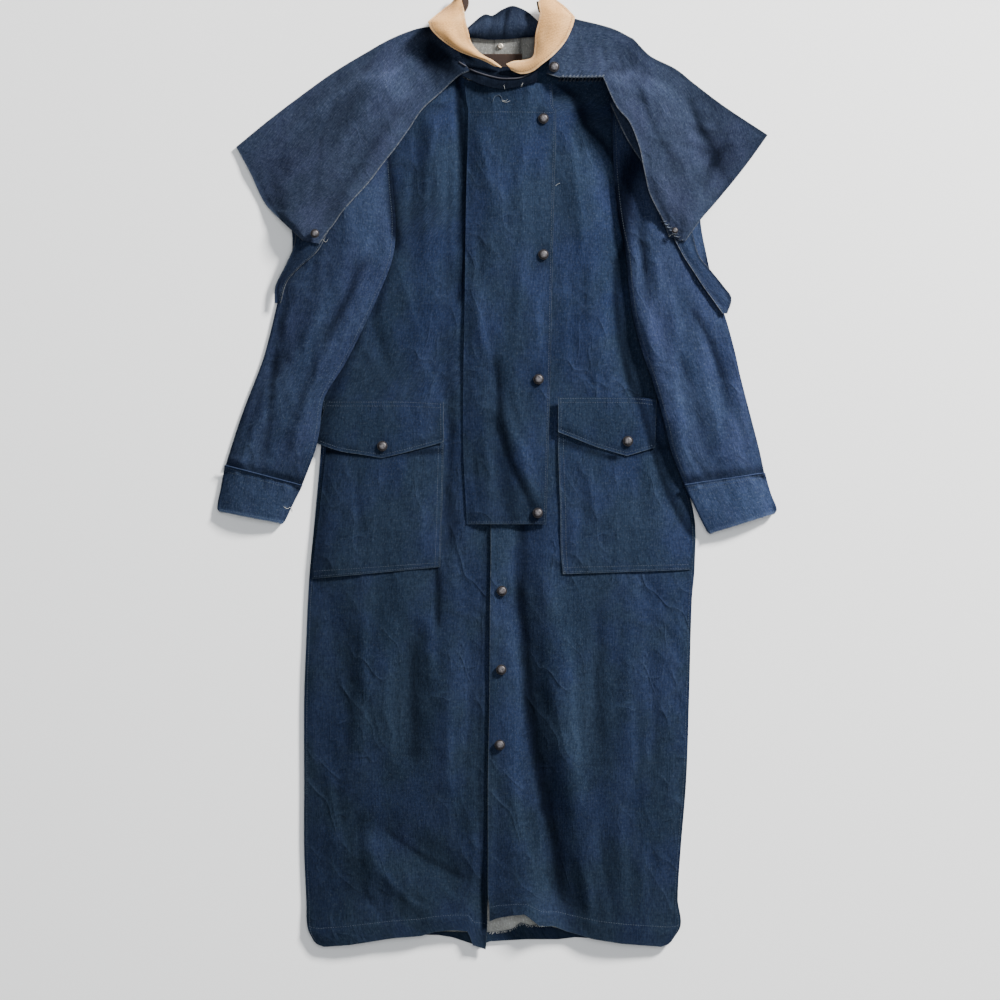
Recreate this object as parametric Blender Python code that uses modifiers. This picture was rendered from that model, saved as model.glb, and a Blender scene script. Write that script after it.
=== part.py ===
# Denim duster coat, laid flat on its back with the sleeves at its sides.
# +X is the wearer's left, +Y runs to the collar and +Z is up, off the surface that it lies on.
# The origin is the centre of its underside. Tables are in millimetres, and the mesh is in metres.

import math

import bpy
import numpy as np
from mathutils import Vector
from mathutils.bvhtree import BVHTree

# Driving sizes
MM = 0.001
DENIM_WALL = 1.6
DOUBLED_WALL = 2.2
COLLAR_WALL = 3.0
LABEL_WALL = 1.0
LAYER_GAP = 0.35
SEAM_GAP = 0.6
SLACK_IN_TUBE = 0.6
TUBE_ARCS = 7
TUBE_COLUMNS = 8

FRONT_PUFF = 6.0
FLAP_PUFF = 1.5
POCKET_PUFF = 1.0
SLEEVE_PUFF = 12.0
CUFF_PUFF = 8.0
CAPE_PUFF = 3.0
CAPE_RIGHT_LIFT = 5.0
CAPE_RIGHT_LIFT_SHARE = 0.2
CAPE_LEFT_LIFT = 13.0
CAPE_LEFT_LIFT_SHARE = 0.3
CAPE_GATHERS = 7
GATHER_HEIGHT = 2.4
GATHER_SHARE = 0.2
GATHERS_BELOW_Y = 600
COLLAR_RISE = 11.0
COLLAR_STANDS = 7.0
STAND_RISE = 7.0
STAND_LEAN = 2.0
STRAP_TWIST = 2.0
HEM_ARCH = (40, -640, 42, 60, 12.0)

# A tube's crown is squarer than a circle, and its inner skin ends this many walls inside
CROWN_POWER = 2.4
TUBE_INSET = 1.2

# How steeply forms fade to nothing at the edges of a piece, per share of its width or length
EDGE_POWER = 3
SLOW_FADE = 6
QUICK_FADE = 8

SNAP_RADIUS = 7.4
SNAP_STEPS = 10

# Half sections of a snap's cap and of a socket, and the circles under one that are tried for
# room, all in shares of its radius
CAP_PROFILE = (
    (0.0, 0.56), (0.44, 0.52), (0.72, 0.38), (0.80, 0.26), (0.92, 0.32), (1.0, 0.16),
    (0.96, 0.0), (0.0, 0.0),
)
SOCKET_PROFILE = ((0.0, 0.2), (0.45, 0.2), (0.55, 0.55), (0.9, 0.5), (1.0, 0.0), (0.0, 0.0))
SEAT_CIRCLES = (0.0, 0.35, 0.7, 1.0)

# The height map that each piece is laid on
MAP_CELL = 3.0
MAP_HALF_X = 440.0
MAP_HALF_Y = 720.0
SOFT_CELLS = 3
SETTLING_STEPS = 60
SETTLED_WITHIN = 0.01
TOUCH_SPACING = 3.5

# Colours as linear RGB, then roughness and metallic
DENIM = ("denim", (0.021, 0.040, 0.088), 0.86, 0.0)
DENIM_BACK = ("denim_wrong_side", (0.300, 0.305, 0.300), 0.9, 0.0)
CORDUROY = ("corduroy", (0.740, 0.520, 0.300), 0.92, 0.0)
LABEL_CLOTH = ("label_cloth", (0.030, 0.018, 0.013), 0.85, 0.0)
SNAP_METAL = ("snap_metal", (0.150, 0.085, 0.060), 0.42, 0.9)

# Outlines. A row is one rung across the cloth: x and y of its first side, x and y of its
# second side, and the number of grid rows from it to the next rung.
CAPE_BACK = (
    (-64, 609, 70, 609, 1), (-110, 607, 120, 612, 1), (-156, 596, 190, 606, 1),
    (-232, 556, 248, 566, 1), (-276, 528, 280, 545, 1), (-322, 494, 324, 512, 1),
    (-366, 461, 379, 475, 1), (-347, 426, 348, 436, 1), (-325, 386, 314, 391, 1),
    (-302, 358, 286, 357, 1), (-266, 323, 260, 322, 1), (-217, 276, 218, 276, 1),
    (-138, 227, 147, 227, 1), (-81, 207, 90, 207, 1),
)
BACK = (
    (-58, 606, 66, 606, 1), (-96, 598, 104, 600, 1), (-138, 576, 150, 579, 1),
    (-160, 553, 173, 555, 1), (-164, 487, 178, 487, 1), (-170, 401, 187, 401, 1),
    (-207, 330, 204, 330, 2), (-215, 245, 215, 245, 2), (-224, 159, 225, 159, 1),
    (-232, 102, 238, 102, 1), (-244, 36, 252, 36, 2), (-258, -69, 277, -63, 1),
    (-267, -155, 275, -155, 1), (-271, -240, 274, -240, 1), (-272, -326, 271, -326, 2),
    (-272, -440, 267, -440, 2), (-272, -540, 261, -540, 1), (-271, -611, 257, -611, 1),
    (-267, -648, 257, -648, 1), (-254, -668, 240, -668, 1),
)
BACK_HEM_FOLD = (
    (-262, -653, 250, -653, 1), (-252, -667, 238, -669, 1),
)
FRONT_RIGHT = (
    (-158, 552, -80, 604, 1), (-161, 525, -58, 570, 1), (-163, 498, -24, 550, 1),
    (-164, 470, 30, 543, 1), (-165, 437, 33, 487, 2), (-168, 387, 33, 401, 2),
    (-207, 326, 33, 330, 2), (-215, 245, 31, 245, 2), (-230, 159, 30, 159, 1),
    (-250, 102, 29, 102, 2), (-251, 35, 29, 35, 2), (-260, -69, 27, -69, 2),
    (-268, -155, 26, -155, 2), (-272, -240, 24, -240, 2), (-275, -326, 23, -326, 3),
    (-275, -440, 16, -440, 3), (-275, -540, 4, -540, 2), (-272, -611, -13, -611, 1),
    (-270, -655, -14, -645, 1), (-261, -677, -16, -677, 1),
)
FRONT_LEFT = (
    (70, 606, 171, 558, 1), (56, 576, 174, 530, 1), (40, 557, 177, 502, 1),
    (4, 543, 178, 473, 1), (-3, 487, 181, 437, 2), (-6, 401, 187, 387, 2),
    (-7, 330, 207, 326, 2), (-7, 245, 218, 245, 2), (-9, 159, 228, 159, 1),
    (-9, 102, 240, 102, 2), (-9, 35, 254, 35, 2), (-9, -69, 281, -63, 2),
    (-9, -126, 282, -135, 1), (-10, -183, 278, -183, 3), (-11, -326, 274, -326, 3),
    (-13, -440, 270, -440, 2), (-13, -540, 262, -540, 2), (-13, -605, 258, -611, 1),
    (-11, -632, 262, -651, 1), (-11, -657, 249, -677, 1),
)
STORM_FLAP = (
    (-47, 556, 78, 551, 1), (-43, 524, 80, 520, 1), (-41, 514, 84, 513, 3),
    (-44, 387, 81, 387, 4), (-46, 245, 78, 245, 3), (-48, 130, 76, 130, 3),
    (-48, 31, 73, 31, 3), (-43, -75, 70, -75, 1),
)
THROAT_BAND = (
    (-67, 606, -57, 565, 1), (-46, 600, -41, 558, 1), (-22, 590, -24, 550, 1),
    (0, 577, -4, 544, 1), (20, 575, 16, 543, 1), (41, 578, 39, 548, 1), (58, 583, 57, 553, 1),
)
SLEEVE_RIGHT = (
    (-178, 549, -150, 535, 1), (-210, 528, -150, 498, 1), (-245, 494, -151, 448, 1),
    (-274, 451, -148, 401, 1), (-295, 387, -144, 352, 1), (-292, 316, -148, 304, 1),
    (-312, 245, -170, 247, 1), (-324, 195, -193, 198, 1), (-335, 156, -217, 152, 1),
    (-356, 102, -245, 105, 1), (-369, 66, -252, 59, 1), (-379, 35, -258, 31, 1),
    (-388, 6, -279, -23, 1),
)
SLEEVE_LEFT = (
    (164, 535, 195, 549, 1), (164, 498, 235, 524, 1), (165, 448, 268, 484, 1),
    (168, 401, 285, 430, 1), (174, 352, 291, 350, 1), (183, 309, 299, 309, 1),
    (187, 266, 309, 266, 1), (195, 213, 325, 223, 1), (208, 166, 339, 173, 1),
    (220, 132, 348, 133, 1), (237, 73, 364, 71, 1), (248, 28, 375, 28, 1),
    (268, -22, 382, -5, 1),
)
CUFF_RIGHT = ((-388, 6, -279, -23, 1), (-394, -24, -291, -47, 1), (-399, -56, -303, -74, 1))
CUFF_LEFT = ((268, -22, 382, -5, 1), (285, -58, 391, -32, 1), (301, -89, 399, -58, 1))
CAPE_RIGHT = (
    (-39, 568, -76, 632, 1), (-54, 561, -101, 634, 1), (-80, 538, -123, 629, 1),
    (-106, 514, -154, 616, 1), (-124, 487, -184, 599, 2), (-144, 458, -235, 568, 2),
    (-163, 434, -281, 535, 2), (-181, 410, -327, 500, 2), (-200, 389, -372, 463, 2),
    (-220, 367, -352, 426, 2), (-232, 350, -332, 384, 1), (-241, 339, -309, 359, 1),
    (-252, 323, -276, 328, 1),
)
CAPE_LEFT = (
    (70, 564, 92, 645, 1), (88, 558, 112, 646, 14), (118, 558, 165, 632, 14),
    (150, 558, 194, 617, 2), (158, 537, 218, 593, 1), (170, 513, 255, 574, 1),
    (187, 493, 279, 555, 2), (201, 458, 324, 521, 2), (207, 430, 386, 480, 2),
    (215, 396, 355, 437, 1), (225, 374, 318, 391, 1), (235, 356, 289, 357, 1),
    (244, 333, 267, 326, 1),
)
ARM_STRAP_RIGHT = (
    (-285, 345, -237, 346, 1), (-290, 318, -255, 313, 1), (-303, 290, -281, 290, 1),
    (-316, 263, -299, 270, 1), (-317, 240, -308, 240, 1),
)
ARM_STRAP_LEFT = (
    (244, 345, 276, 345, 1), (264, 307, 287, 307, 1), (278, 286, 304, 286, 1),
    (294, 262, 324, 262, 1), (308, 243, 334, 247, 1), (321, 225, 328, 225, 1),
)
POCKET_RIGHT = (
    (-236, 96, -76, 99, 2), (-243, 36, -76, 38, 2), (-253, -55, -78, -55, 2),
    (-260, -112, -80, -112, 1), (-264, -153, -81, -136, 1),
)
POCKET_LEFT = (
    (87, 99, 235, 99, 2), (87, 36, 250, 36, 2), (90, -55, 274, -58, 2),
    (91, -112, 279, -112, 1), (94, -146, 276, -140, 1),
)
POCKET_FLAP_RIGHT = (
    (-241, 101, -262, 42, 1), (-217, 101, -224, 29, 1), (-188, 101, -193, 24, 1),
    (-163, 101, -164, 19, 1), (-135, 101, -134, 26, 1), (-110, 100, -104, 34, 1),
    (-76, 98, -76, 42, 1),
)
POCKET_FLAP_LEFT = (
    (87, 106, 87, 56, 1), (111, 106, 113, 46, 1), (135, 106, 138, 36, 1),
    (161, 106, 164, 28, 1), (184, 106, 185, 22, 1), (205, 105, 205, 28, 1),
    (227, 102, 225, 34, 1),
)
COLLAR_STAND = (
    (-53, 624, -53, 610, 1), (-43, 631, -41, 617, 1), (-33, 640, -30, 617, 1),
    (-24, 648, -20, 616, 1), (-16, 652, -13, 615, 1), (-7, 650, -6, 615, 1),
    (6, 658, 4, 615, 1), (21, 664, 19, 616, 1), (33, 661, 30, 617, 1),
    (44, 655, 41, 618, 1), (58, 642, 57, 619, 1), (68, 632, 68, 616, 1),
)
NECK_FACING = (
    (-52, 620, -43, 560, 1), (-4, 621, -4, 548, 1), (33, 621, 33, 548, 1),
    (66, 620, 58, 562, 1),
)
NECK_LABEL = ((-24, 595, -24, 576, 1), (36, 595, 36, 576, 1))
COLLAR_RIGHT = (
    (-57, 681, -50, 681, 1), (-63, 670, -50, 670, 1), (-78, 657, -47, 657, 1),
    (-98, 637, -44, 637, 1), (-93, 625, -40, 621, 1), (-78, 610, -36, 607, 1),
    (-57, 596, -26, 595, 1), (-37, 588, -16, 588, 1), (-21, 583, -6, 583, 1),
    (-3, 574, 7, 573, 1),
)
COLLAR_LEFT = (
    (66, 677, 76, 677, 1), (59, 668, 86, 670, 1), (59, 661, 98, 660, 1),
    (61, 651, 111, 645, 1), (58, 635, 107, 630, 1), (54, 618, 97, 609, 1),
    (53, 601, 80, 589, 1), (50, 587, 64, 576, 1), (39, 583, 50, 566, 1),
    (23, 581, 34, 563, 1), (13, 577, 20, 568, 1),
)

# Lower edges that aren't straight: x and y of each point
HEM_BACK = (
    (-255, -666), (-138, -660), (-84, -661), (-64, -664), (-43, -671), (-27, -676),
    (-10, -670), (41, -667), (87, -667), (111, -664), (175, -668), (240, -669),
)
HEM_RIGHT = (
    (-261, -677), (-210, -674), (-147, -664), (-108, -661), (-88, -655), (-63, -653),
    (-40, -655), (-36, -674), (-16, -681),
)
HEM_LEFT = (
    (-11, -640), (1, -635), (21, -631), (40, -629), (61, -646), (80, -646),
    (100, -655), (118, -660), (135, -665), (178, -672), (212, -675), (249, -678),
)
HEM_FADE = 70.0

# Folds: x and y of the first end, x and y of the last end, width, and height above the
# cloth round it, which is below zero in a trough
FOLDS_RIGHT = (
    (-214, -240, -214, -611, 16, -3.0), (-187, -183, -184, -554, 18, 3.0),
    (-116, -249, -116, -397, 14, -4.0), (-66, -312, -66, -468, 14, 4.0),
    (-154, -514, -47, -575, 16, -5.0), (-171, -554, -96, -618, 16, 4.0),
    (-88, 508, -93, 245, 18, 4.0), (-70, 130, -71, -98, 14, -4.0),
    (-84, -140, -84, -212, 12, -4.0),
)
FOLDS_LEFT = (
    (37, -83, 34, -183, 15, -7.0), (34, -183, 47, -334, 17, -8.0),
    (47, -334, 71, -478, 19, -8.0), (71, -478, 90, -575, 19, -8.0),
    (90, -575, 107, -640, 17, -7.0), (78, -183, 104, -420, 20, 6.0),
    (104, -420, 142, -600, 20, 5.0), (8, -250, 30, -540, 14, 4.0),
    (175, -468, 187, -611, 18, 3.0), (147, -212, 153, -440, 22, -3.0),
    (218, -183, 221, -411, 20, -3.0), (120, 420, 150, 160, 26, 4.0),
)
FOLDS_CAPE_RIGHT = (
    (-150, 560, -250, 420, 20, 3.0), (-190, 560, -330, 440, 18, 3.0),
    (-130, 520, -225, 385, 12, -2.5),
)
FOLDS_CAPE_LEFT = (
    (200, 604, 201, 533, 14, 3.0), (298, 516, 312, 446, 14, -3.0),
    (208, 486, 250, 430, 12, -3.0),
)
FOLDS_FLAP = (
    (-27, 245, -12, 158, 12, 2.5), (-1, 155, 4, 68, 12, -2.5), (4, 68, 46, -40, 14, 3.0),
    (-24, 470, -8, 390, 12, 2.5), (59, 245, 60, 175, 10, 2.5),
)
FOLDS_SLEEVE_RIGHT = (
    (-300, 250, -317, 159, 14, -5.0), (-317, 159, -329, 31, 12, -4.0),
    (-190, 296, -210, 250, 14, -5.0), (-210, 250, -235, 207, 12, -5.0),
)
FOLDS_SLEEVE_LEFT = (
    (284, 222, 319, 140, 14, -5.0), (319, 140, 331, 82, 12, -4.0),
    (205, 359, 211, 277, 12, -4.0), (250, 170, 268, 40, 14, 3.0),
)

# Places across a piece, from its first side to its second, where it has a grid line
COLUMNS_LEFT_FRONT = (
    0.0, 0.05, 0.1, 0.15, 0.2, 0.26, 0.32, 0.38, 0.45, 0.53, 0.62, 0.72, 0.82, 0.92, 1.0,
)
COLUMNS_RIGHT_FRONT = (0.0, 0.08, 0.17, 0.27, 0.36, 0.45, 0.54, 0.63, 0.72, 0.8, 0.9, 1.0)

# Snaps and studs: name, x, y, radius
SNAPS = (
    ("snap_flap_1", 66, 501, SNAP_RADIUS), ("snap_flap_2", 66, 308, SNAP_RADIUS),
    ("snap_flap_3", 59, 131, SNAP_RADIUS), ("snap_flap_4", 58, -59, SNAP_RADIUS),
    ("snap_front_1", 7, -170, SNAP_RADIUS), ("snap_front_2", 6, -282, SNAP_RADIUS),
    ("snap_front_3", 4, -389, SNAP_RADIUS), ("snap_pocket_right", -163, 36, SNAP_RADIUS),
    ("snap_pocket_left", 186, 43, SNAP_RADIUS), ("snap_neck", 81, 573, SNAP_RADIUS),
    ("snap_cape_right", -258, 337, 6.2), ("stud_cape_left", 252, 341, 4.5),
    ("socket_neck", 5, 606, 4.2),
)


class Pile:
    # Top heights of the cloth laid so far, with the layer gap added. Bare surface is 0.

    def __init__(self):
        columns = int(2 * MAP_HALF_X / MAP_CELL) + 1
        rows = int(2 * MAP_HALF_Y / MAP_CELL) + 1
        self.top = np.zeros((rows, columns))
        self.points, self.faces = [], []

    def keep(self, points, faces):
        # Remembers a laid mesh, so that later pieces can be let down on to it.
        start = len(self.points)
        self.points += [Vector(point) for point in points]
        self.faces += [tuple(start + number for number in face) for face in faces]

    def room_below(self, points):
        # How far these points can all come down before one is a layer gap from the pile,
        # or on the bare surface.
        if not self.points:
            return 0.0
        tree = BVHTree.FromPolygons(self.points, self.faces)
        room = points[:, 2].min()
        for point in points:
            hit = tree.ray_cast(Vector(point), Vector((0, 0, -1)))[0]
            if hit is not None:
                room = min(room, point[2] - hit.z - LAYER_GAP)
        return max(0.0, room)

    def add(self, surface):
        points = spread_points(surface, MAP_CELL / 2)
        np.maximum.at(self.top, self.cell_of(points), points[:, 2] + LAYER_GAP)

    def cell_of(self, points):
        row = np.rint((points[..., 1] + MAP_HALF_Y) / MAP_CELL).astype(int)
        column = np.rint((points[..., 0] + MAP_HALF_X) / MAP_CELL).astype(int)
        return row, column

    def height(self, points, reach):
        # The highest cloth within reach of each point.
        cells = int(math.ceil(reach / MAP_CELL)) + 1
        return slide(self.top, cells, np.maximum)[self.cell_of(points)]

    def drape(self, grid):
        # Height of a limp sheet at each grid point: a soft cover over what lies below,
        # then raised at the corners of any triangle that would still cut into it.
        soft = slide(self.top, 2 * SOFT_CELLS, np.maximum)
        soft = slide(soft, SOFT_CELLS, np.add) / (2 * SOFT_CELLS + 1) ** 2
        heights = soft[self.cell_of(grid)].reshape(-1)
        corners, weights = cell_corners(grid), cell_weights(grid, MAP_CELL)
        points = np.einsum("kc,qcx->qkx", weights, grid.reshape(-1, 2)[corners])
        least = self.height(points, 0)
        share = weights / (weights**2).sum(axis=1, keepdims=True)
        for _ in range(SETTLING_STEPS):
            lack = np.maximum(0, least - heights[corners] @ weights.T)
            if lack.max() < SETTLED_WITHIN:
                break
            raised = (lack[..., None] * share).max(axis=1)
            rise = np.zeros_like(heights)
            np.maximum.at(rise, corners, raised)
            heights = heights + rise
        return heights.reshape(grid.shape[:2])


def cell_corners(grid):
    # Vertex numbers of each grid cell: near, right, down and far.
    rows, columns = grid.shape[:2]
    numbers = np.arange(rows * columns).reshape(rows, columns)
    corners = (numbers[:-1, :-1], numbers[:-1, 1:], numbers[1:, :-1], numbers[1:, 1:])
    return np.stack(corners, axis=-1).reshape(-1, 4)


def cell_weights(grid, spacing):
    # Shares of a cell's four corners at points spread over its two triangles.
    flat = grid[..., :2]
    longest = max(
        np.linalg.norm(flat[1:] - flat[:-1], axis=-1).max(),
        np.linalg.norm(flat[:, 1:] - flat[:, :-1], axis=-1).max(),
    )
    places = np.linspace(0, 1, int(longest / spacing) + 2)
    s, t = (side.reshape(-1) for side in np.meshgrid(places, places))
    upper = np.stack([1 - s, s - t, 0 * s, t], axis=1)
    lower = np.stack([1 - t, 0 * s, t - s, s], axis=1)
    return np.where((s >= t)[:, None], upper, lower)


def spread_points(surface, spacing):
    corners, weights = cell_corners(surface), cell_weights(surface, spacing)
    points = np.einsum("kc,qcx->qkx", weights, surface.reshape(-1, 3)[corners])
    return points.reshape(-1, 3)


def slide(values, cells, join):
    # Joins each value of a map with all within this many cells of it, along both sides.
    for axis in (0, 1):
        pad = [(0, 0), (0, 0)]
        pad[axis] = (cells, cells)
        wide = np.pad(values, pad, mode="edge")
        length = values.shape[axis]
        joined = np.take(wide, range(length), axis=axis)
        for shift in range(1, 2 * cells + 1):
            joined = join(joined, np.take(wide, range(shift, shift + length), axis=axis))
        values = joined
    return values


def rung_grid(rungs, columns):
    # Points (row, column, xy) over the cloth between its two sides, and the row and
    # column places, each from 0 to 1.
    table = np.array(rungs, float)
    stops = [0.0]
    for index, count in enumerate(table[:-1, 4].astype(int)):
        stops += [index + (step + 1) / count for step in range(count)]
    stops = np.array(stops)
    numbers = np.arange(len(table))
    sides = [np.interp(stops, numbers, table[:, i]) for i in range(4)]
    first = np.stack(sides[:2], axis=1)[:, None, :]
    second = np.stack(sides[2:], axis=1)[:, None, :]
    across = np.array(columns)[None, :, None]
    grid = first + (second - first) * across
    v, u = np.meshgrid(stops / stops[-1], np.array(columns), indexing="ij")
    return grid, u, v


def follow_hem(grid, hem):
    # Moves the last rows up or down so that the lower edge follows the hem's points.
    points = np.array(hem, float)
    last = grid[-1]
    shift = np.interp(last[:, 0], points[:, 0], points[:, 1]) - last[:, 1]
    away = np.abs(grid[..., 1] - last[None, :, 1])
    grid = grid.copy()
    grid[..., 1] += shift[None, :] * np.clip(1 - away / HEM_FADE, 0, 1)
    return grid


def folds_at(x, y, folds):
    # Sum of long soft folds, each highest along its line and fading at its ends.
    total = np.zeros_like(x)
    for x0, y0, x1, y1, width, height in folds:
        length = math.hypot(x1 - x0, y1 - y0)
        along = ((x - x0) * (x1 - x0) + (y - y0) * (y1 - y0)) / length
        aside = ((x - x0) * (y1 - y0) - (y - y0) * (x1 - x0)) / length
        past = np.maximum(0, np.maximum(-along, along - length))
        total += height * np.exp(-((aside / width) ** 2) - (past / (2 * width)) ** 2)
    return total


def material_of(finish):
    name, colour, roughness, metallic = finish
    found = bpy.data.materials.get(name)
    if found:
        return found
    made = bpy.data.materials.new(name)
    made.use_nodes = True
    shader = made.node_tree.nodes["Principled BSDF"]
    shader.inputs["Base Color"].default_value = (*colour, 1)
    shader.inputs["Roughness"].default_value = roughness
    shader.inputs["Metallic"].default_value = metallic
    return made


def add_object(name, mesh, finish):
    made = bpy.data.objects.new(name, mesh)
    made.data.materials.append(material_of(finish))
    COAT.objects.link(made)
    return made


def add_cloth(name, points, faces, finish):
    faces = [tuple(int(number) for number in face) for face in faces]
    mesh = bpy.data.meshes.new(name)
    mesh.from_pydata([tuple(point * MM) for point in points], [], faces)
    mesh.update()
    flip_if_inside_out(mesh)
    add_object(name, mesh, finish)
    PILE.keep(points, faces)


def flip_if_inside_out(mesh):
    volume = 0.0
    for face in mesh.polygons:
        a, b, c = (mesh.vertices[i].co for i in face.vertices)
        volume += a.dot(b.cross(c))
    if volume < 0:
        mesh.flip_normals()


def grid_triangles(numbers):
    # Triangles over a grid of vertex numbers, each cell cut along the same diagonal.
    faces = []
    for row in range(numbers.shape[0] - 1):
        for column in range(numbers.shape[1] - 1):
            near, right = numbers[row, column], numbers[row, column + 1]
            down, far = numbers[row + 1, column], numbers[row + 1, column + 1]
            faces.append((near, far, right))
            faces.append((near, down, far))
    return faces


def cloth_wall(name, grid, under, wall, finish):
    # A wall of cloth between an underside and the same surface moved up by its thickness.
    rows, columns = under.shape
    bottom = np.concatenate([grid, under[..., None]], axis=-1)
    top = bottom + np.array([0, 0, wall])
    count = rows * columns
    low = np.arange(count).reshape(rows, columns)
    high = low + count
    faces = grid_triangles(high) + [face[::-1] for face in grid_triangles(low)]
    rim = [*low[0, :-1], *low[:-1, -1], *low[-1, :0:-1], *low[:0:-1, 0]]
    for here, there in zip(rim, rim[1:] + rim[:1]):
        faces.append((here, there + count, there))
        faces.append((here, here + count, there + count))
    points = np.concatenate([bottom.reshape(-1, 3), top.reshape(-1, 3)])
    add_cloth(name, points, faces, finish)
    return top


def lay(name, rungs, columns, wall, finish, form=None, hem=None):
    # Lays one piece of cloth on the pile. form gives its height above what it lies on.
    if isinstance(columns, int):
        columns = np.linspace(0, 1, columns + 1)
    grid, u, v = rung_grid(rungs, columns)
    if hem:
        grid = follow_hem(grid, hem)
    under = PILE.drape(grid)
    if form:
        under = under + np.maximum(0, form(u, v, grid[..., 0], grid[..., 1]))
    surface = np.concatenate([grid, under[..., None]], axis=-1)
    under = under - PILE.room_below(spread_points(surface, TOUCH_SPACING))
    PILE.add(cloth_wall(name, grid, under, wall, finish))


def tube_ring(first, second, inset, base, rise):
    # One flattened ring across a tube: along its underside, then back over its top.
    turns = np.linspace(0, math.pi, TUBE_ARCS + 1)
    u = (1 - np.cos(turns)) / 2
    width = np.linalg.norm(second - first)
    u = inset / width + (1 - 2 * inset / width) * u
    flat = first + (second - first) * u[:, None]
    low, high = base(u), base(u) + rise(u)
    low[[0, -1]] = high[[0, -1]] = (low[[0, -1]] + high[[0, -1]]) / 2
    under = np.concatenate([flat, low[:, None]], axis=1)
    over = np.concatenate([flat, high[:, None]], axis=1)
    return under, over


def cloth_tube(name, rungs, puff, wall, finish, folds, start_gap=0.0):
    # A sleeve or cuff lying flat: an open tube with an outer and an inner skin.
    stops = np.linspace(0, 1, TUBE_COLUMNS + 1)
    grid = rung_grid(rungs, stops)[0]
    if start_gap:
        along = grid[1] - grid[0]
        grid[0] += start_gap * along / np.linalg.norm(along, axis=-1, keepdims=True)
    lying = PILE.drape(grid)
    outer, inner, tops = [], [], []
    for row in range(len(grid)):
        first, second = grid[row, 0], grid[row, -1]

        def base(places, row=row):
            return np.interp(places, stops, lying[row])

        def rise(places, first=first, second=second):
            spot = first + (second - first) * places[:, None]
            crown = puff * (1 - np.abs(2 * places - 1) ** CROWN_POWER)
            crease = folds_at(spot[:, 0], spot[:, 1], folds) * off_edges(places, SLOW_FADE)
            return 2 * wall + SLACK_IN_TUBE + np.maximum(0, crown + crease)

        under, over = tube_ring(first, second, 0.0, base, rise)
        outer.append(np.concatenate([under, over[-2:0:-1]]))
        tops.append(over)
        low, high = tube_ring(
            first, second, TUBE_INSET * wall,
            lambda places: base(places) + wall,
            lambda places: rise(places) - 2 * wall,
        )
        inner.append(np.concatenate([low, high[-2:0:-1]]))
    rings, around = len(outer), len(outer[0])
    skins = np.arange(2 * rings * around).reshape(2, rings, around)
    skins = np.concatenate([skins, skins[:, :, :1]], axis=2)
    faces = grid_triangles(skins[0]) + [f[::-1] for f in grid_triangles(skins[1])]
    for end, turn in ((0, 1), (-1, -1)):
        mouth = np.stack([skins[1, end], skins[0, end]])
        faces += [f[::turn] for f in grid_triangles(mouth)]
    points = np.concatenate([np.concatenate(outer), np.concatenate(inner)])
    add_cloth(name, points, faces, finish)
    return np.array(tops)


def snap(name, x, y, radius):
    # A pressed cap with a rolled rim, turned from its profile, on top of the cloth there.
    profile = SOCKET_PROFILE if name.startswith("socket") else CAP_PROFILE
    height = float(PILE.height(np.array([x, y], float), radius))
    turns = np.linspace(0, 2 * math.pi, 4 * SNAP_STEPS)
    rings = [
        (x + radius * part * math.cos(turn), y + radius * part * math.sin(turn), height)
        for part in SEAT_CIRCLES
        for turn in turns
    ]
    height -= PILE.room_below(np.array(rings))
    mesh = bpy.data.meshes.new(name)
    points = [(r * radius * MM, 0, h * radius * MM) for r, h in profile]
    mesh.from_pydata(points, [(i, i + 1) for i in range(len(points) - 1)], [])
    made = add_object(name, mesh, SNAP_METAL)
    made.location = (x * MM, y * MM, height * MM)
    screw = made.modifiers.new("turn", "SCREW")
    screw.steps = screw.render_steps = SNAP_STEPS
    screw.use_merge_vertices = True
    screw.merge_threshold = 0.00001
    screw.use_smooth_shade = True


def edge_fade(u):
    return 1 - np.abs(2 * u - 1) ** EDGE_POWER


def off_edge(share, fade):
    # 0 on the edge where the share is 0, and 1 all over from a little way in.
    return np.clip(fade * share, 0, 1)


def off_edges(share, fade):
    return off_edge(np.minimum(share, 1 - share), fade)


def front_right_form(u, v, x, y):
    puff = FRONT_PUFF * edge_fade(u) * off_edge(v, SLOW_FADE)
    return puff + folds_at(x, y, FOLDS_RIGHT) * off_edges(u, QUICK_FADE)


def front_left_form(u, v, x, y):
    puff = FRONT_PUFF * edge_fade(u) * off_edge(v, SLOW_FADE)
    folds = folds_at(x, y, FOLDS_LEFT) * off_edges(u, QUICK_FADE)
    at_x, at_y, half_width, half_length, height = HEM_ARCH
    away = ((x - at_x) / half_width) ** 2 + ((y - at_y) / half_length) ** 2
    return puff + folds + height * np.exp(-away)


def flap_form(u, v, x, y):
    return FLAP_PUFF * edge_fade(u) + folds_at(x, y, FOLDS_FLAP) * off_edge(u, SLOW_FADE)


def cape_right_form(u, v, x, y):
    lift = CAPE_RIGHT_LIFT * np.exp(-((u / CAPE_RIGHT_LIFT_SHARE) ** 2)) * np.sin(math.pi * v)
    folds = folds_at(x, y, FOLDS_CAPE_RIGHT) * off_edge(u, SLOW_FADE)
    return lift + CAPE_PUFF * edge_fade(u) + folds


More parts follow.
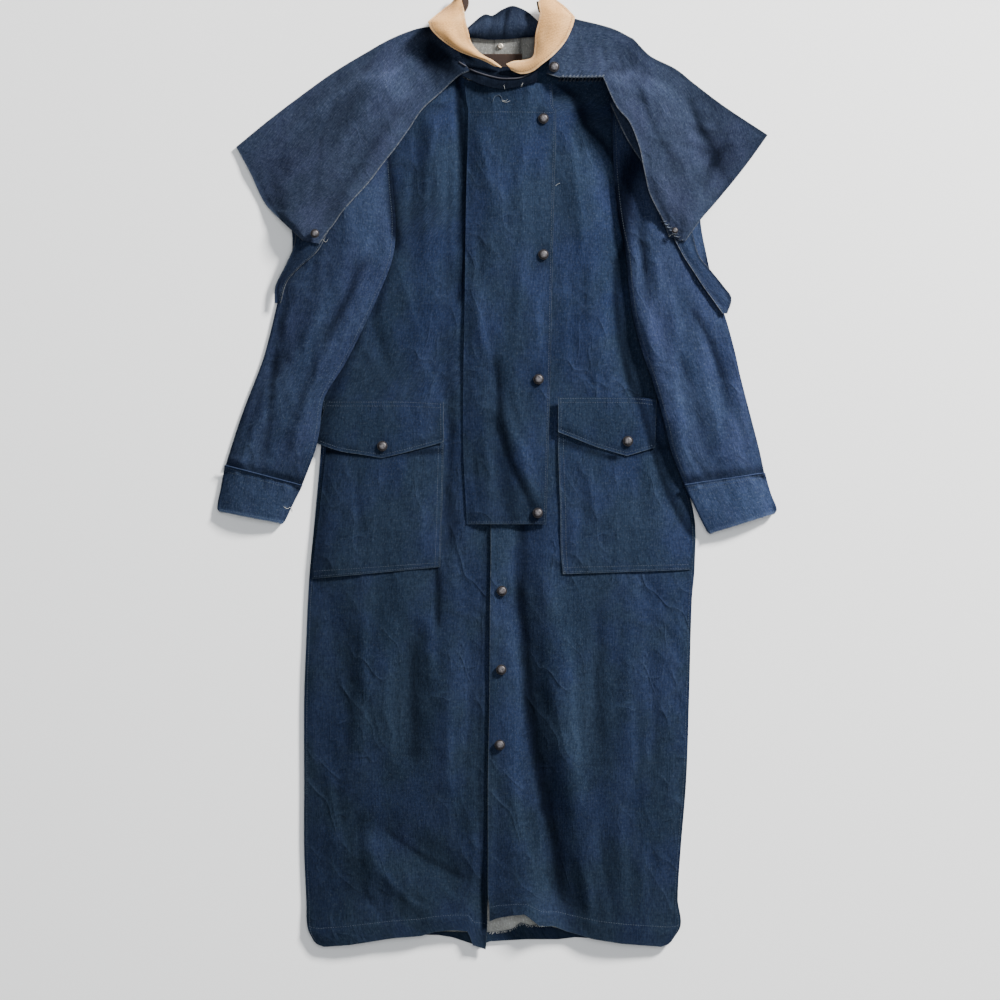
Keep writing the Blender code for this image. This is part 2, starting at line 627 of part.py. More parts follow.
def cape_left_form(u, v, x, y):
    window = off_edge(v, QUICK_FADE) * off_edge(1 - v, SLOW_FADE)
    lift = CAPE_LEFT_LIFT * np.exp(-((u / CAPE_LEFT_LIFT_SHARE) ** 2)) * window
    first, last = CAPE_LEFT[1][0], CAPE_LEFT[3][0]
    phase = (x - first) / (last - first) * CAPE_GATHERS
    inside = (phase > 0) & (phase < CAPE_GATHERS) & (y < GATHERS_BELOW_Y)
    wave = (1 - np.cos(2 * math.pi * phase)) / 2 * np.exp(-u / GATHER_SHARE)
    gathers = np.where(inside, GATHER_HEIGHT * wave, 0)
    return lift + CAPE_PUFF * edge_fade(u) + gathers + folds_at(x, y, FOLDS_CAPE_LEFT) * u


def collar_form(u, v):
    # The fall rolls over from the neck, where u is 0, and stands highest at the back.
    roll = COLLAR_RISE * np.sin(math.pi * (0.75 - 0.6 * u)) * (1 - v**EDGE_POWER / 2)
    return roll + COLLAR_STANDS * (1 - v) ** 2


def collar_right_form(u, v, x, y):
    return collar_form(1 - u, v)


def collar_left_form(u, v, x, y):
    return collar_form(u, v)


def stand_form(u, v, x, y):
    return STAND_RISE * np.sin(math.pi * u) + STAND_LEAN * (1 - u)


def strap_form(u, v, x, y):
    return STRAP_TWIST * np.sin(math.pi * u) * (1 - v)


def pocket_form(u, v, x, y):
    return POCKET_PUFF * edge_fade(u)


def build_body():
    lay("cape_back", CAPE_BACK, 8, DENIM_WALL, DENIM)
    lay("back_panel", BACK, 8, DENIM_WALL, DENIM, hem=HEM_BACK)
    lay("back_hem_fold", BACK_HEM_FOLD, 12, DENIM_WALL, DENIM, hem=HEM_BACK)
    lay("neck_facing", NECK_FACING, 3, DENIM_WALL, DENIM_BACK)
    lay("neck_label", NECK_LABEL, 1, LABEL_WALL, LABEL_CLOTH)
    lay("collar_stand", COLLAR_STAND, 4, DENIM_WALL, DENIM, stand_form)
    lay(
        "front_right", FRONT_RIGHT, COLUMNS_RIGHT_FRONT, DENIM_WALL, DENIM,
        front_right_form, HEM_RIGHT,
    )
    lay(
        "front_left", FRONT_LEFT, COLUMNS_LEFT_FRONT, DENIM_WALL, DENIM,
        front_left_form, HEM_LEFT,
    )
    lay("storm_flap", STORM_FLAP, 6, DOUBLED_WALL, DENIM, flap_form)


def build_pockets():
    lay("pocket_right", POCKET_RIGHT, 6, DENIM_WALL, DENIM, pocket_form)
    lay("pocket_left", POCKET_LEFT, 6, DENIM_WALL, DENIM, pocket_form)
    lay("pocket_flap_right", POCKET_FLAP_RIGHT, 3, DOUBLED_WALL, DENIM)
    lay("pocket_flap_left", POCKET_FLAP_LEFT, 3, DOUBLED_WALL, DENIM)


def build_sleeves():
    # Each cuff meets its sleeve end to end, so neither is laid on the other.
    sides = (
        ("right", SLEEVE_RIGHT, CUFF_RIGHT, FOLDS_SLEEVE_RIGHT),
        ("left", SLEEVE_LEFT, CUFF_LEFT, FOLDS_SLEEVE_LEFT),
    )
    for side, sleeve, cuff, folds in sides:
        tops = (
            cloth_tube("sleeve_" + side, sleeve, SLEEVE_PUFF, DENIM_WALL, DENIM, folds),
            cloth_tube("cuff_" + side, cuff, CUFF_PUFF, DOUBLED_WALL, DENIM, (), SEAM_GAP),
        )
        for top in tops:
            PILE.add(top)


def build_cape_and_collar():
    lay("arm_strap_right", ARM_STRAP_RIGHT, 2, DOUBLED_WALL, DENIM, strap_form)
    lay("arm_strap_left", ARM_STRAP_LEFT, 2, DOUBLED_WALL, DENIM, strap_form)
    lay("throat_band", THROAT_BAND, 3, DOUBLED_WALL, DENIM)
    lay("cape_right", CAPE_RIGHT, 8, DENIM_WALL, DENIM, cape_right_form)
    lay("cape_left", CAPE_LEFT, 8, DENIM_WALL, DENIM, cape_left_form)
    lay("collar_right", COLLAR_RIGHT, 5, COLLAR_WALL, CORDUROY, collar_right_form)
    lay("collar_left", COLLAR_LEFT, 5, COLLAR_WALL, CORDUROY, collar_left_form)


for old in list(bpy.data.objects):
    bpy.data.objects.remove(old, do_unlink=True)
COAT = bpy.data.collections.new("duster_coat")
bpy.context.scene.collection.children.link(COAT)
PILE = Pile()
build_body()
build_pockets()
build_sleeves()
build_cape_and_collar()
for row in SNAPS:
    snap(*row)
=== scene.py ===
import math

import bpy
import numpy as np
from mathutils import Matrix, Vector
from mathutils.bvhtree import BVHTree


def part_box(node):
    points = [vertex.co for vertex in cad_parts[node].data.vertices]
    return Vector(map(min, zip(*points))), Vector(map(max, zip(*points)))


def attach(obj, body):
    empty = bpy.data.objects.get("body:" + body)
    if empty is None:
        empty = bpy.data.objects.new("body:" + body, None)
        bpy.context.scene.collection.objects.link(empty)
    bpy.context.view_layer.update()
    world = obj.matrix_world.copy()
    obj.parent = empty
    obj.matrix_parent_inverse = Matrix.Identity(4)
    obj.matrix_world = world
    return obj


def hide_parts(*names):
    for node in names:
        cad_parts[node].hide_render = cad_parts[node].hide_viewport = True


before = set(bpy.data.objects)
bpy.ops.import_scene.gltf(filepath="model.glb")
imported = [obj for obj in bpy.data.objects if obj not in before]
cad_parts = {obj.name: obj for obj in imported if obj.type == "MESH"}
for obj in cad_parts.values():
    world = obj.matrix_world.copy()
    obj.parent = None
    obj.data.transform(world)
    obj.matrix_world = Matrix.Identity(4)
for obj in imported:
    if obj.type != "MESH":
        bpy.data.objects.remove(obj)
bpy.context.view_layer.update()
print("frame loaded,", len(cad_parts), "nodes")

mm = 0.001  # plans and folds below are in millimetres, as in the part's source

# Camera: straight above, as wide as the photo's frame is on the coat
cameraSet = {"frameWidth": 1.426, "centre": (0.0043, -0.0406), "height": 3.4, "level": 0.004}


def addObject(name, data):
    obj = bpy.data.objects.new(name, data)
    bpy.context.scene.collection.objects.link(obj)
    return obj


def addCamera():
    data = bpy.data.cameras.new("overhead")
    data.sensor_width = 36
    away = cameraSet["height"] - cameraSet["level"]
    data.lens = data.sensor_width * away / cameraSet["frameWidth"]
    camera = addObject("overhead", data)
    camera.location = (*cameraSet["centre"], cameraSet["height"])
    bpy.context.scene.camera = camera


addCamera()
print("camera set")

# Studio: a low soft key from the upper right, a big fill overhead, a pale floor
studioSet = {
    "key": {"at": (3.9, 3.9, 2.2), "size": 0.95, "watts": 1450, "colour": (1.0, 0.99, 0.97)},
    "fill": {"at": (0.3, 0.3, 3.6), "size": 3.0, "watts": 78, "colour": (0.93, 0.97, 1.0)},
    "world": (0.92, 0.95, 1.0),
    "worldStrength": 0.2,
    "backdrop": 0.62,  # how bright the world looks behind the floor, which lights nothing
    "floor": (0.95, 0.95, 0.95),
    "floorSize": 12.0,
}


class Field:
    # A shader value whose sums and products are maths nodes
    def __init__(self, tree, socket):
        self.tree, self.socket = tree, socket

    def act(self, operation, *others, clamp=False):
        node = self.tree.nodes.new("ShaderNodeMath")
        node.operation, node.use_clamp = operation, clamp
        for socket, value in zip(node.inputs, (self, *others)):
            link(socket, value)
        return Field(self.tree, node.outputs[0])

    def __add__(self, other):
        return self.act("ADD", other)

    def __sub__(self, other):
        return self.act("SUBTRACT", other)

    def __mul__(self, other):
        return self.act("MULTIPLY", other)

    def __truediv__(self, other):
        return self.act("DIVIDE", other)

    def short(self):
        # What is missing to 1, and never less than 0
        node = self.tree.nodes.new("ShaderNodeMath")
        node.operation, node.use_clamp = "SUBTRACT", True
        node.inputs[0].default_value = 1.0
        link(node.inputs[1], self)
        return Field(self.tree, node.outputs[0])


def link(socket, value):
    if isinstance(value, Field):
        value.tree.links.new(value.socket, socket)
    elif isinstance(value, tuple) and socket.type == "RGBA":
        socket.default_value = (*value, 1)
    else:
        socket.default_value = value


def addStudio():
    for name in ("key", "fill"):
        rig = studioSet[name]
        data = bpy.data.lights.new(name, "AREA")
        data.size = rig["size"]
        data.energy = rig["watts"]
        data.color = rig["colour"]
        lamp = addObject(name, data)
        lamp.location = rig["at"]
        lamp.rotation_euler = Vector(rig["at"]).to_track_quat("Z", "Y").to_euler()
    world = bpy.data.worlds.new("studio")
    world.use_nodes = True
    back = world.node_tree.nodes["Background"]
    back.inputs["Color"].default_value = (*studioSet["world"], 1)
    seen = Field(world.node_tree, world.node_tree.nodes.new("ShaderNodeLightPath").outputs["Is Camera Ray"])
    extra = studioSet["backdrop"] - studioSet["worldStrength"]
    link(back.inputs["Strength"], seen * extra + studioSet["worldStrength"])
    bpy.context.scene.world = world
    bpy.ops.mesh.primitive_plane_add(size=studioSet["floorSize"], location=(0, 0, -0.0004))
    floor = bpy.context.object
    floor.name = "floor"
    paint = bpy.data.materials.new("palePaper")
    paint.use_nodes = True
    shader = paint.node_tree.nodes["Principled BSDF"]
    shader.inputs["Base Color"].default_value = (*studioSet["floor"], 1)
    shader.inputs["Roughness"].default_value = 0.9
    floor.data.materials.append(paint)


addStudio()
print("studio set")


# Materials
def newGroup(name, inputs, outputs):
    # Inputs have their defaults, or None for a vector
    group = bpy.data.node_groups.new(name, "ShaderNodeTree")
    for label, value in inputs.items():
        kind = "NodeSocketVector" if value is None else "NodeSocketFloat"
        socket = group.interface.new_socket(label, in_out="INPUT", socket_type=kind)
        if value is not None:
            socket.default_value = value
    for label in outputs:
        group.interface.new_socket(label, in_out="OUTPUT", socket_type="NodeSocketFloat")
    given, made = group.nodes.new("NodeGroupInput"), group.nodes.new("NodeGroupOutput")
    return group, [Field(group, given.outputs[label]) for label in inputs], made.inputs


def through(kind, vector, **settings):
    # A vector node fed by another vector
    node = vector.tree.nodes.new(kind)
    for label, value in settings.items():
        node.inputs[label].default_value = value
    link(node.inputs["Vector"], vector)
    return node


def addNoise(vector, stretch, detail=3.0, roughness=0.6):
    mapping = through("ShaderNodeMapping", vector, Scale=stretch)
    placed = Field(vector.tree, mapping.outputs[0])
    noise = through("ShaderNodeTexNoise", placed, Scale=1.0, Detail=detail, Roughness=roughness)
    return Field(vector.tree, noise.outputs["Fac"])


def addRamp(value, low, high):
    node = value.tree.nodes.new("ShaderNodeMapRange")
    node.inputs["From Min"].default_value = low
    node.inputs["From Max"].default_value = high
    node.interpolation_type = "SMOOTHSTEP"
    link(node.inputs["Value"], value)
    return Field(value.tree, node.outputs[0])


def splitOf(vector):
    node = vector.tree.nodes.new("ShaderNodeSeparateXYZ")
    link(node.inputs[0], vector)
    return [Field(vector.tree, socket) for socket in node.outputs[:2]]


def mixColour(tree, amount, first, second, blend="MIX"):
    node = tree.nodes.new("ShaderNodeMix")
    node.data_type = "RGBA"
    node.blend_type = blend
    node.clamp_factor = True
    node.clamp_result = False
    for slot, value in ((0, amount), (6, first), (7, second)):
        link(node.inputs[slot], value)
    return Field(tree, node.outputs[2])


def tinted(tree, colour, tint):
    return mixColour(tree, 1.0, colour, tint, "MULTIPLY")


def makeTwillWeave():
    # Diagonal twill, warp slubs and pale flecks, over cloth coordinates in metres
    group, (cloth, pitch), made = newGroup(
        "twillWeave", {"Cloth": None, "Pitch": 0.0011}, ["Tone", "Fleck", "Height"]
    )
    across, up = splitOf(cloth)
    wave = ((across + up * 0.62) / pitch * (2 * math.pi)).act("SINE")
    slub = addNoise(cloth, (620, 55, 1), 3.0, 0.65)
    weft = addNoise(cloth, (90, 520, 1), 2.0, 0.6)
    grain = addNoise(cloth, (1500, 1100, 1), 1.0, 0.5)
    heather = addNoise(cloth, (300, 170, 1), 3.0, 0.75)
    link(made["Tone"], slub * 0.34 + weft * 0.16 + grain * 0.12 + heather * 0.38)
    link(made["Fleck"], addRamp(addNoise(cloth, (520, 260, 1), 2.0, 0.7), 0.50, 0.80))
    link(made["Height"], wave * 0.35 + slub * 0.8)
    return group


def makeWashWear():
    # Broad wash patches, and a pale frosting along the edges and over the proud seams
    group, (cloth, edge, width), made = newGroup(
        "washWear", {"Cloth": None, "Edge": 0.05, "Width": 0.0022}, ["Patch", "Cast", "Frost", "Halo"]
    )
    haloWidth = 0.013
    broad = addNoise(cloth, (7, 4.5, 1), 4.0, 0.6)
    streak = addNoise(cloth, (38, 6, 1), 3.0, 0.55)
    link(made["Patch"], addRamp(broad * 0.6 + streak * 0.4, 0.36, 0.64))
    link(made["Cast"], addRamp(addNoise(cloth, (11, 8, 1)), 0.4, 0.62))
    rub = addNoise(cloth, (160, 160, 1), 3.0, 0.7)
    link(made["Frost"], (edge / width).short() * addRamp(rub, 0.3, 0.62))
    link(made["Halo"], (edge / haloWidth).short() * addRamp(streak, 0.25, 0.7))
    return group


def makeCreaseNet():
    # Fine crumples that a height map would be too coarse for: thin wandering lines, in patches
    group, (cloth,), made = newGroup("creaseNet", {"Cloth": None}, ["Line", "Height"])
    lineWidth, push = 0.06, 2.4
    lines, facets = [], []
    for stretch, turn in (((19, 9, 1), 0.35), ((33, 17, 1), -0.5)):
        rotate = group.nodes.new("ShaderNodeVectorRotate")
        rotate.rotation_type = "Z_AXIS"
        rotate.inputs["Angle"].default_value = turn
        link(rotate.inputs["Vector"], cloth)
        turned = Field(group, rotate.outputs[0])
        field = addNoise(turned, stretch, 1.5, 0.45)
        line = ((field - 0.5).act("ABSOLUTE") / lineWidth).short()
        lines.append(line * line)
        mapping = through("ShaderNodeMapping", turned, Scale=tuple(1.2 * size for size in stretch))
        pushed = group.nodes.new("ShaderNodeVectorMath")
        pushed.operation = "ADD"
        link(pushed.inputs[0], Field(group, mapping.outputs[0]))
        link(pushed.inputs[1], field * push)
        cells = through("ShaderNodeTexVoronoi", Field(group, pushed.outputs[0]), Scale=1.0)
        facets.append(Field(group, cells.outputs["Distance"]))
    shown = addRamp(addNoise(cloth, (9, 6, 1), 2.0, 0.5), 0.36, 0.62)
    creased = (lines[0] + lines[1] * 0.7) * shown
    folded = (facets[0] - facets[1] * 0.6) * (shown * 0.7 + 0.3)
    link(made["Line"], creased)
    link(made["Height"], creased * 0.45 + folded * 1.6)
    return group


def makePaintedLightGradient():
    # Painted light: darker towards the wearer's right hem and lighter towards the left shoulder, as the key
    # light falls; 0 at the wearer's right hem, 1 at the left shoulder
    group, (place,), made = newGroup("sunFade", {"Place": None}, ["Fade"])
    sideways, upwards = splitOf(place)
    link(made["Fade"], addRamp(sideways * 0.8 + upwards * 0.75, -0.72, 0.55))
    return group


twillWeave, creaseNet, sunFade, washWear = makeTwillWeave(), makeCreaseNet(), makePaintedLightGradient(), makeWashWear()


def newMaterial(name, roughness):
    material = bpy.data.materials.new(name)
    material.use_nodes = True
    tree = material.node_tree
    shader = tree.nodes["Principled BSDF"].inputs
    shader["Roughness"].default_value = roughness
    return material, tree, shader


def attributeOf(tree, name):
    node = tree.nodes.new("ShaderNodeAttribute")
    node.attribute_name = name
    return Field(tree, node.outputs["Fac"])


def clothUv(tree):
    node = tree.nodes.new("ShaderNodeUVMap")
    node.uv_map = "cloth"
    return Field(tree, node.outputs[0])


def objectPlace(tree):
    return Field(tree, tree.nodes.new("ShaderNodeTexCoord").outputs["Object"])


def useGroup(tree, group, **values):
    node = tree.nodes.new("ShaderNodeGroup")
    node.node_tree = group
    for label, value in values.items():
        link(node.inputs[label], value)
    return {socket.name: Field(tree, socket) for socket in node.outputs}


def addBump(shader, height, distance, strength):
    bump = height.tree.nodes.new("ShaderNodeBump")
    bump.inputs["Distance"].default_value = distance
    bump.inputs["Strength"].default_value = strength
    link(bump.inputs["Height"], height)
    link(shader["Normal"], Field(height.tree, bump.outputs[0]))


def denimMaterial(name, look):
    material, tree, shader = newMaterial(name, look["roughness"])
    cloth, worn = clothUv(tree), attributeOf(tree, "worn")
    weave = useGroup(tree, twillWeave, Cloth=cloth, Pitch=look["pitch"])
    wear = useGroup(tree, washWear, Cloth=cloth, Edge=attributeOf(tree, "edge"), Width=look["frostWidth"])
    net = useGroup(tree, creaseNet, Cloth=cloth)
    litSide = useGroup(tree, sunFade, Place=objectPlace(tree))["Fade"]
    colour = mixColour(tree, wear["Patch"], look["dark"], look["mid"])
    colour = mixColour(tree, wear["Cast"], tinted(tree, colour, look["cast"]), colour)
    toned = addRamp(weave["Tone"], 0.39, 0.61)
    colour = mixColour(tree, toned, tinted(tree, colour, look["lowTone"]), colour)
    colour = mixColour(tree, weave["Fleck"] * look["fleck"], colour, look["pale"])
    colour = mixColour(tree, net["Line"] * look["lined"], colour, look["faded"])
    colour = mixColour(tree, wear["Halo"] * look["halo"], colour, look["faded"])
    colour = mixColour(tree, wear["Frost"], colour, look["frost"])
    # Painted light: the cloth darkens away from the key light, towards the lower left
    colour = mixColour(tree, litSide, tinted(tree, colour, look["awayFromLightTint"]), colour)
    # Low values darken the cloth: kept dye, painted shade and painted shadow; high values pale it: rubbed
    # wear and painted light
    washedAndLitTint = tinted(tree, colour, look["washedAndLitTint"])
    link(shader["Base Color"], mixColour(tree, worn, tinted(tree, colour, look["dyeAndShadeTint"]), washedAndLitTint))
    shader["Sheen Weight"].default_value = look["sheen"]
    shader["Sheen Roughness"].default_value = 0.5
    shader["Specular IOR Level"].default_value = look["gloss"]
    addBump(shader, weave["Height"] + net["Height"] * look["crumple"], 0.0004, look["bump"])
    return material


denimLook = {
    "dark": (0.0172, 0.0298, 0.0770), "mid": (0.0256, 0.0408, 0.0990), "lowTone": (0.44, 0.48, 0.54),
    # cast is the cloth's own tint; the other darkens the side away from the key light: painted light
    "cast": (0.94, 1.0, 0.80), "awayFromLightTint": (0.58, 0.60, 0.55),
    # Tints for the dark end (kept dye and painted shade) and the pale end (wear and painted light)
    "dyeAndShadeTint": (0.17, 0.20, 0.22), "washedAndLitTint": (1.80, 1.70, 1.58),
    "pale": (0.074, 0.096, 0.135), "faded": (0.030, 0.046, 0.082), "frost": (0.066, 0.084, 0.114),
    "fleck": 0.42, "halo": 0.20, "lined": 0.16, "pitch": 0.0011, "frostWidth": 0.0011, "roughness": 0.9,
    "sheen": 0.01, "gloss": 0.03, "bump": 0.9, "crumple": 3.7,
}
greyedLook = {  # the cape has lost most of its blue, and the sleeves and cuffs some of it
    **denimLook, "dark": (0.0212, 0.0292, 0.0620), "mid": (0.0274, 0.0356, 0.0730), "cast": (0.93, 1.0, 0.92),
    "frost": (0.100, 0.112, 0.130), "frostWidth": 0.0016, "crumple": 3.8,
}
sleeveLook = {**greyedLook, "dark": (0.0176, 0.0280, 0.0690), "mid": (0.0252, 0.0362, 0.0860)}
wrongSideLook = {
    "dark": (0.150, 0.143, 0.129), "mid": (0.215, 0.202, 0.180), "lowTone": (0.72, 0.72, 0.74),
    "cast": (0.96, 1.0, 0.98), "awayFromLightTint": (0.95, 0.95, 0.95),
    "dyeAndShadeTint": (0.45, 0.45, 0.47), "washedAndLitTint": (2.30, 2.35, 2.45),
    "pale": (0.50, 0.50, 0.48), "faded": (0.36, 0.36, 0.35), "frost": (0.45, 0.44, 0.42),
    "fleck": 0.4, "halo": 0.2, "lined": 0.2, "pitch": 0.0011, "frostWidth": 0.0015, "roughness": 0.92,
    "sheen": 0.03, "gloss": 0.12, "bump": 0.6, "crumple": 1.0,
}
labelLook = {
    "dark": (0.020, 0.012, 0.009), "mid": (0.034, 0.020, 0.014), "lowTone": (0.7, 0.7, 0.7),
    "cast": (1.0, 0.9, 0.9), "awayFromLightTint": (0.95, 0.95, 0.95),
    "dyeAndShadeTint": (0.6, 0.6, 0.6), "washedAndLitTint": (1.4, 1.4, 1.4),
    "pale": (0.08, 0.05, 0.035), "faded": (0.045, 0.028, 0.020), "frost": (0.09, 0.06, 0.045),
    "fleck": 0.12, "halo": 0.2, "lined": 0.1, "pitch": 0.0006, "frostWidth": 0.0012, "roughness": 0.8,
    "sheen": 0.03, "gloss": 0.2, "bump": 0.3, "crumple": 0.4,
}
denim = denimMaterial("washedDenim", denimLook)
greyedDenim = denimMaterial("greyedDenim", greyedLook)
sleeveDenim = denimMaterial("sleeveDenim", sleeveLook)
wrongSide = denimMaterial("denimWrongSide", wrongSideLook)
labelCloth = denimMaterial("labelCloth", labelLook)

corduroyLook = {
    "tan": (0.56, 0.290, 0.098), "deep": (0.42, 0.203, 0.062), "rubbed": (0.78, 0.54, 0.30),
    "shaded": (0.35, 0.24, 0.16), "wale": 0.0021, "frostWidth": 0.0035, "roughness": 0.95, "sheen": 0.13,
}


def corduroyMaterial(look):
    material, tree, shader = newMaterial("tanCorduroy", look["roughness"])
    cloth, worn = clothUv(tree), attributeOf(tree, "worn")
    wear = useGroup(tree, washWear, Cloth=cloth, Edge=attributeOf(tree, "edge"), Width=look["frostWidth"])
    wave = (splitOf(cloth)[1] / look["wale"] * (2 * math.pi)).act("SINE")
    nap = addNoise(cloth, (420, 520, 1), 4.0, 0.65)
    colour = mixColour(tree, addRamp(nap, 0.35, 0.62), look["deep"], look["tan"])
    colour = mixColour(tree, wear["Patch"] * 0.35, colour, look["rubbed"])
    colour = mixColour(tree, wear["Frost"], colour, look["rubbed"])
    # Where a collar's marks push the value under 0.5, the tan darkens towards the shaded tint: painted shade
    kept = worn.act("MULTIPLY", 2.0, clamp=True)
    link(shader["Base Color"], mixColour(tree, kept, tinted(tree, colour, look["shaded"]), colour))
    shader["Sheen Weight"].default_value = look["sheen"]
    shader["Sheen Roughness"].default_value = 0.6
    shader["Specular IOR Level"].default_value = 0.15
    addBump(shader, wave * 0.25 + nap, 0.0005, 0.6)
    return material


corduroy = corduroyMaterial(corduroyLook)

copperLook = {"metal": (0.078, 0.068, 0.070), "tarnish": (0.022, 0.020, 0.023), "worn": (0.165, 0.157, 0.165)}
brassLook = {"metal": (0.62, 0.56, 0.47), "tarnish": (0.38, 0.33, 0.27), "worn": (0.8, 0.76, 0.68)}


def snapMaterial(name, look):
    material, tree, shader = newMaterial(name, 0.5)
    spots = addNoise(objectPlace(tree), (420, 420, 420), 4.0, 0.7)
    crown = attributeOf(tree, "crown")
    colour = mixColour(tree, addRamp(spots, 0.35, 0.65), look["tarnish"], look["metal"])
    # The crown's centre is paled towards the rubbed colour: partly worn metal, partly a painted highlight;
    # the rim is darkened to tarnish
    colour = mixColour(tree, crown * addRamp(spots, 0.3, 0.6), colour, look["worn"])
    rim = crown.act("MULTIPLY", -1.0, clamp=True)
    link(shader["Base Color"], mixColour(tree, rim, colour, look["tarnish"]))
    shader["Metallic"].default_value = 0.6
    link(shader["Roughness"], spots * 0.3 + 0.38)
    addBump(shader, spots, 0.0002, 0.35)
    return material


agedCopper, paleBrass = snapMaterial("agedCopper", copperLook), snapMaterial("paleBrass", brassLook)


def threadMaterial(name, dark, light):
    material, tree, shader = newMaterial(name, 0.8)
    shade = addRamp(addNoise(objectPlace(tree), (60, 60, 60)), 0.35, 0.7)
    link(shader["Base Color"], mixColour(tree, shade, dark, light))
    return material


thread = threadMaterial("topstitchThread", (0.020, 0.031, 0.053), (0.052, 0.067, 0.092))
looseThread = threadMaterial("looseThread", (0.28, 0.29, 0.29), (0.48, 0.48, 0.46))
pipingCloth = threadMaterial("bandPiping", (0.015, 0.015, 0.024), (0.032, 0.030, 0.040))
ropedCloth = threadMaterial("ropedHem", (0.018, 0.026, 0.044), (0.036, 0.048, 0.070))
print("materials made")


# Cloth: each shell follows its plan and lies on its solid, with creases of its own
def foldsAt(x, y, folds, tapered=True):
    total = np.zeros_like(x)
    for x0, y0, x1, y1, width, height in folds:
        length = math.hypot(x1 - x0, y1 - y0)
        along = ((x - x0) * (x1 - x0) + (y - y0) * (y1 - y0)) / length
        aside = ((x - x0) * (y1 - y0) - (y - y0) * (x1 - x0)) / length
        bend = 0.12 * length * np.sin(math.pi * np.clip(along / length, 0, 1)) * np.sin(x0 * 1.7 + y0)
        past = np.maximum(0, np.maximum(-along, along - length))
        taper = 0.35 + 0.65 * np.sin(math.pi * np.clip(along / length, 0, 1)) ** 0.7 if tapered else 1
        total += height * taper * np.exp(-(((aside + bend * 0.3) / width) ** 2) - (past / (2 * width)) ** 2)
    return total


def puckers(start, end, pitch, reach, height):
    # Short creases across a seam, as uneven as its stitching has drawn it up
    ax, ay, bx, by = *start, *end
    length = math.hypot(bx - ax, by - ay)
    count = int(length / pitch)
    rows = []
    for step in range(count):
        share = (step + 0.5 + 0.3 * math.sin(step * 2.4)) / count
        x, y = ax + (bx - ax) * share, ay + (by - ay) * share
        far = reach * (0.75 + 0.4 * math.sin(step * 3.7 + 1))
        across = (-(by - ay) / length * far, (bx - ax) / length * far)
        lean = 0.25 * far * math.sin(step * 1.9)
        rows.append((x - across[0], y - across[1], x + across[0] + lean, y + across[1], 0.3 * pitch, height))
    return tuple(rows)


def ripple(x, y, sizeX, sizeY, seed):
    # Smooth value noise, from -1 to 1, with cells of the given sizes
    gx, gy = x / sizeX, y / sizeY
    ix, iy = np.floor(gx), np.floor(gy)
    fx, fy = gx - ix, gy - iy
    fx, fy = fx * fx * (3 - 2 * fx), fy * fy * (3 - 2 * fy)

    def corner(cx, cy):
        value = np.sin((ix + cx) * 127.1 + (iy + cy) * 311.7 + seed * 74.7) * 43758.5453
        return value - np.floor(value)

    low = corner(0, 0) * (1 - fx) + corner(1, 0) * fx
    high = corner(0, 1) * (1 - fx) + corner(1, 1) * fx
    return 2 * (low * (1 - fy) + high * fy) - 1


def hermite(points, index, share, breaks):
    # A point on a smooth curve through the rungs' ends, with corners kept at the breaks
    p, q = points[index], points[index + 1]
    size = np.linalg.norm(q - p)

    def heading(at, other):
        inside = 0 < at < len(points) - 1 and at not in breaks
        way = points[at + 1] - points[at - 1] if inside else other
        return way / max(np.linalg.norm(way), 1e-9) * size

    m, n = heading(index, q - p), heading(index + 1, q - p)
    s = share
    return (
        (2 * s**3 - 3 * s**2 + 1) * p + (s**3 - 2 * s**2 + s) * m
        + (-2 * s**3 + 3 * s**2) * q + (s**3 - s**2) * n
    )


def acrossPlaces(width, spacing):
    near = [0.0, 1.6, 4.0, 7.0, 10.5]
    if width < 60:
        count = max(4, int(width / (0.5 * spacing)))
        return np.linspace(0, 1, count + 1)
    middle = np.linspace(14, width - 14, max(2, int((width - 28) / spacing)) + 1)
    return np.array([*near, *middle, *[width - x for x in reversed(near)]]) / width


hemReach = 70.0


def bendRow(layer, row, table, share):
    # Moves an end row onto places given as (x, y), and takes the rows near it along
    points = np.array(table, float)
    shift = np.interp(layer[row, :, 0], points[:, 0], points[:, 1]) - layer[row, :, 1]
    layer[..., 1] += shift * share


def planGrid(piece):
    table = np.array(piece["plan"], float)
    first, second = table[:, :2], table[:, 2:]
    spacing, breaks, finer = piece.get("spacing", 3.8), piece.get("breaks", ()), piece.get("finer", {})
    stops = [0.0]
    for index in range(len(table) - 1):
        span = max(np.linalg.norm(side[index + 1] - side[index]) for side in (first, second))
        count = max(math.ceil(span / spacing), finer.get(index, 1))
        stops += [index + (step + 1) / count for step in range(count)]
    stops = np.array(stops)
    width = np.linalg.norm(second - first, axis=1).mean()
    places = acrossPlaces(width, spacing)
    smooth, plain = [], []
    for stop in stops:
        index = min(int(stop), len(table) - 2)
        share = stop - index
        ends = [hermite(side, index, share, breaks) for side in (first, second)]
        straight = [side[index] * (1 - share) + side[index + 1] * share for side in (first, second)]
        smooth.append(ends[0] + (ends[1] - ends[0]) * places[:, None])
        tucked = np.clip(places, 0.006, 0.994)[:, None]
        plain.append(straight[0] + (straight[1] - straight[0]) * tucked)
    grid, solid = np.array(smooth), np.array(plain)
    solid[0] += (solid[1] - solid[0]) * 0.05
    solid[-1] += (solid[-2] - solid[-1]) * 0.05
    if "hem" in piece:
        for layer in (grid, solid):
            away = np.abs(layer[..., 1] - layer[-1, :, 1])
            bendRow(layer, -1, piece["hem"], np.clip(1 - away / hemReach, 0, 1))
    if "brim" in piece:
        bendRow(grid, 0, piece["brim"], (1 - np.linspace(0, 1, len(grid)))[:, None])
    return grid, solid, places


down, upwards = Vector((0, 0, -1)), Vector((0, 0, 1))


def treeOf(node):
    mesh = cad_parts[node].data
    return BVHTree.FromPolygons([v.co for v in mesh.vertices], [tuple(p.vertices) for p in mesh.polygons])


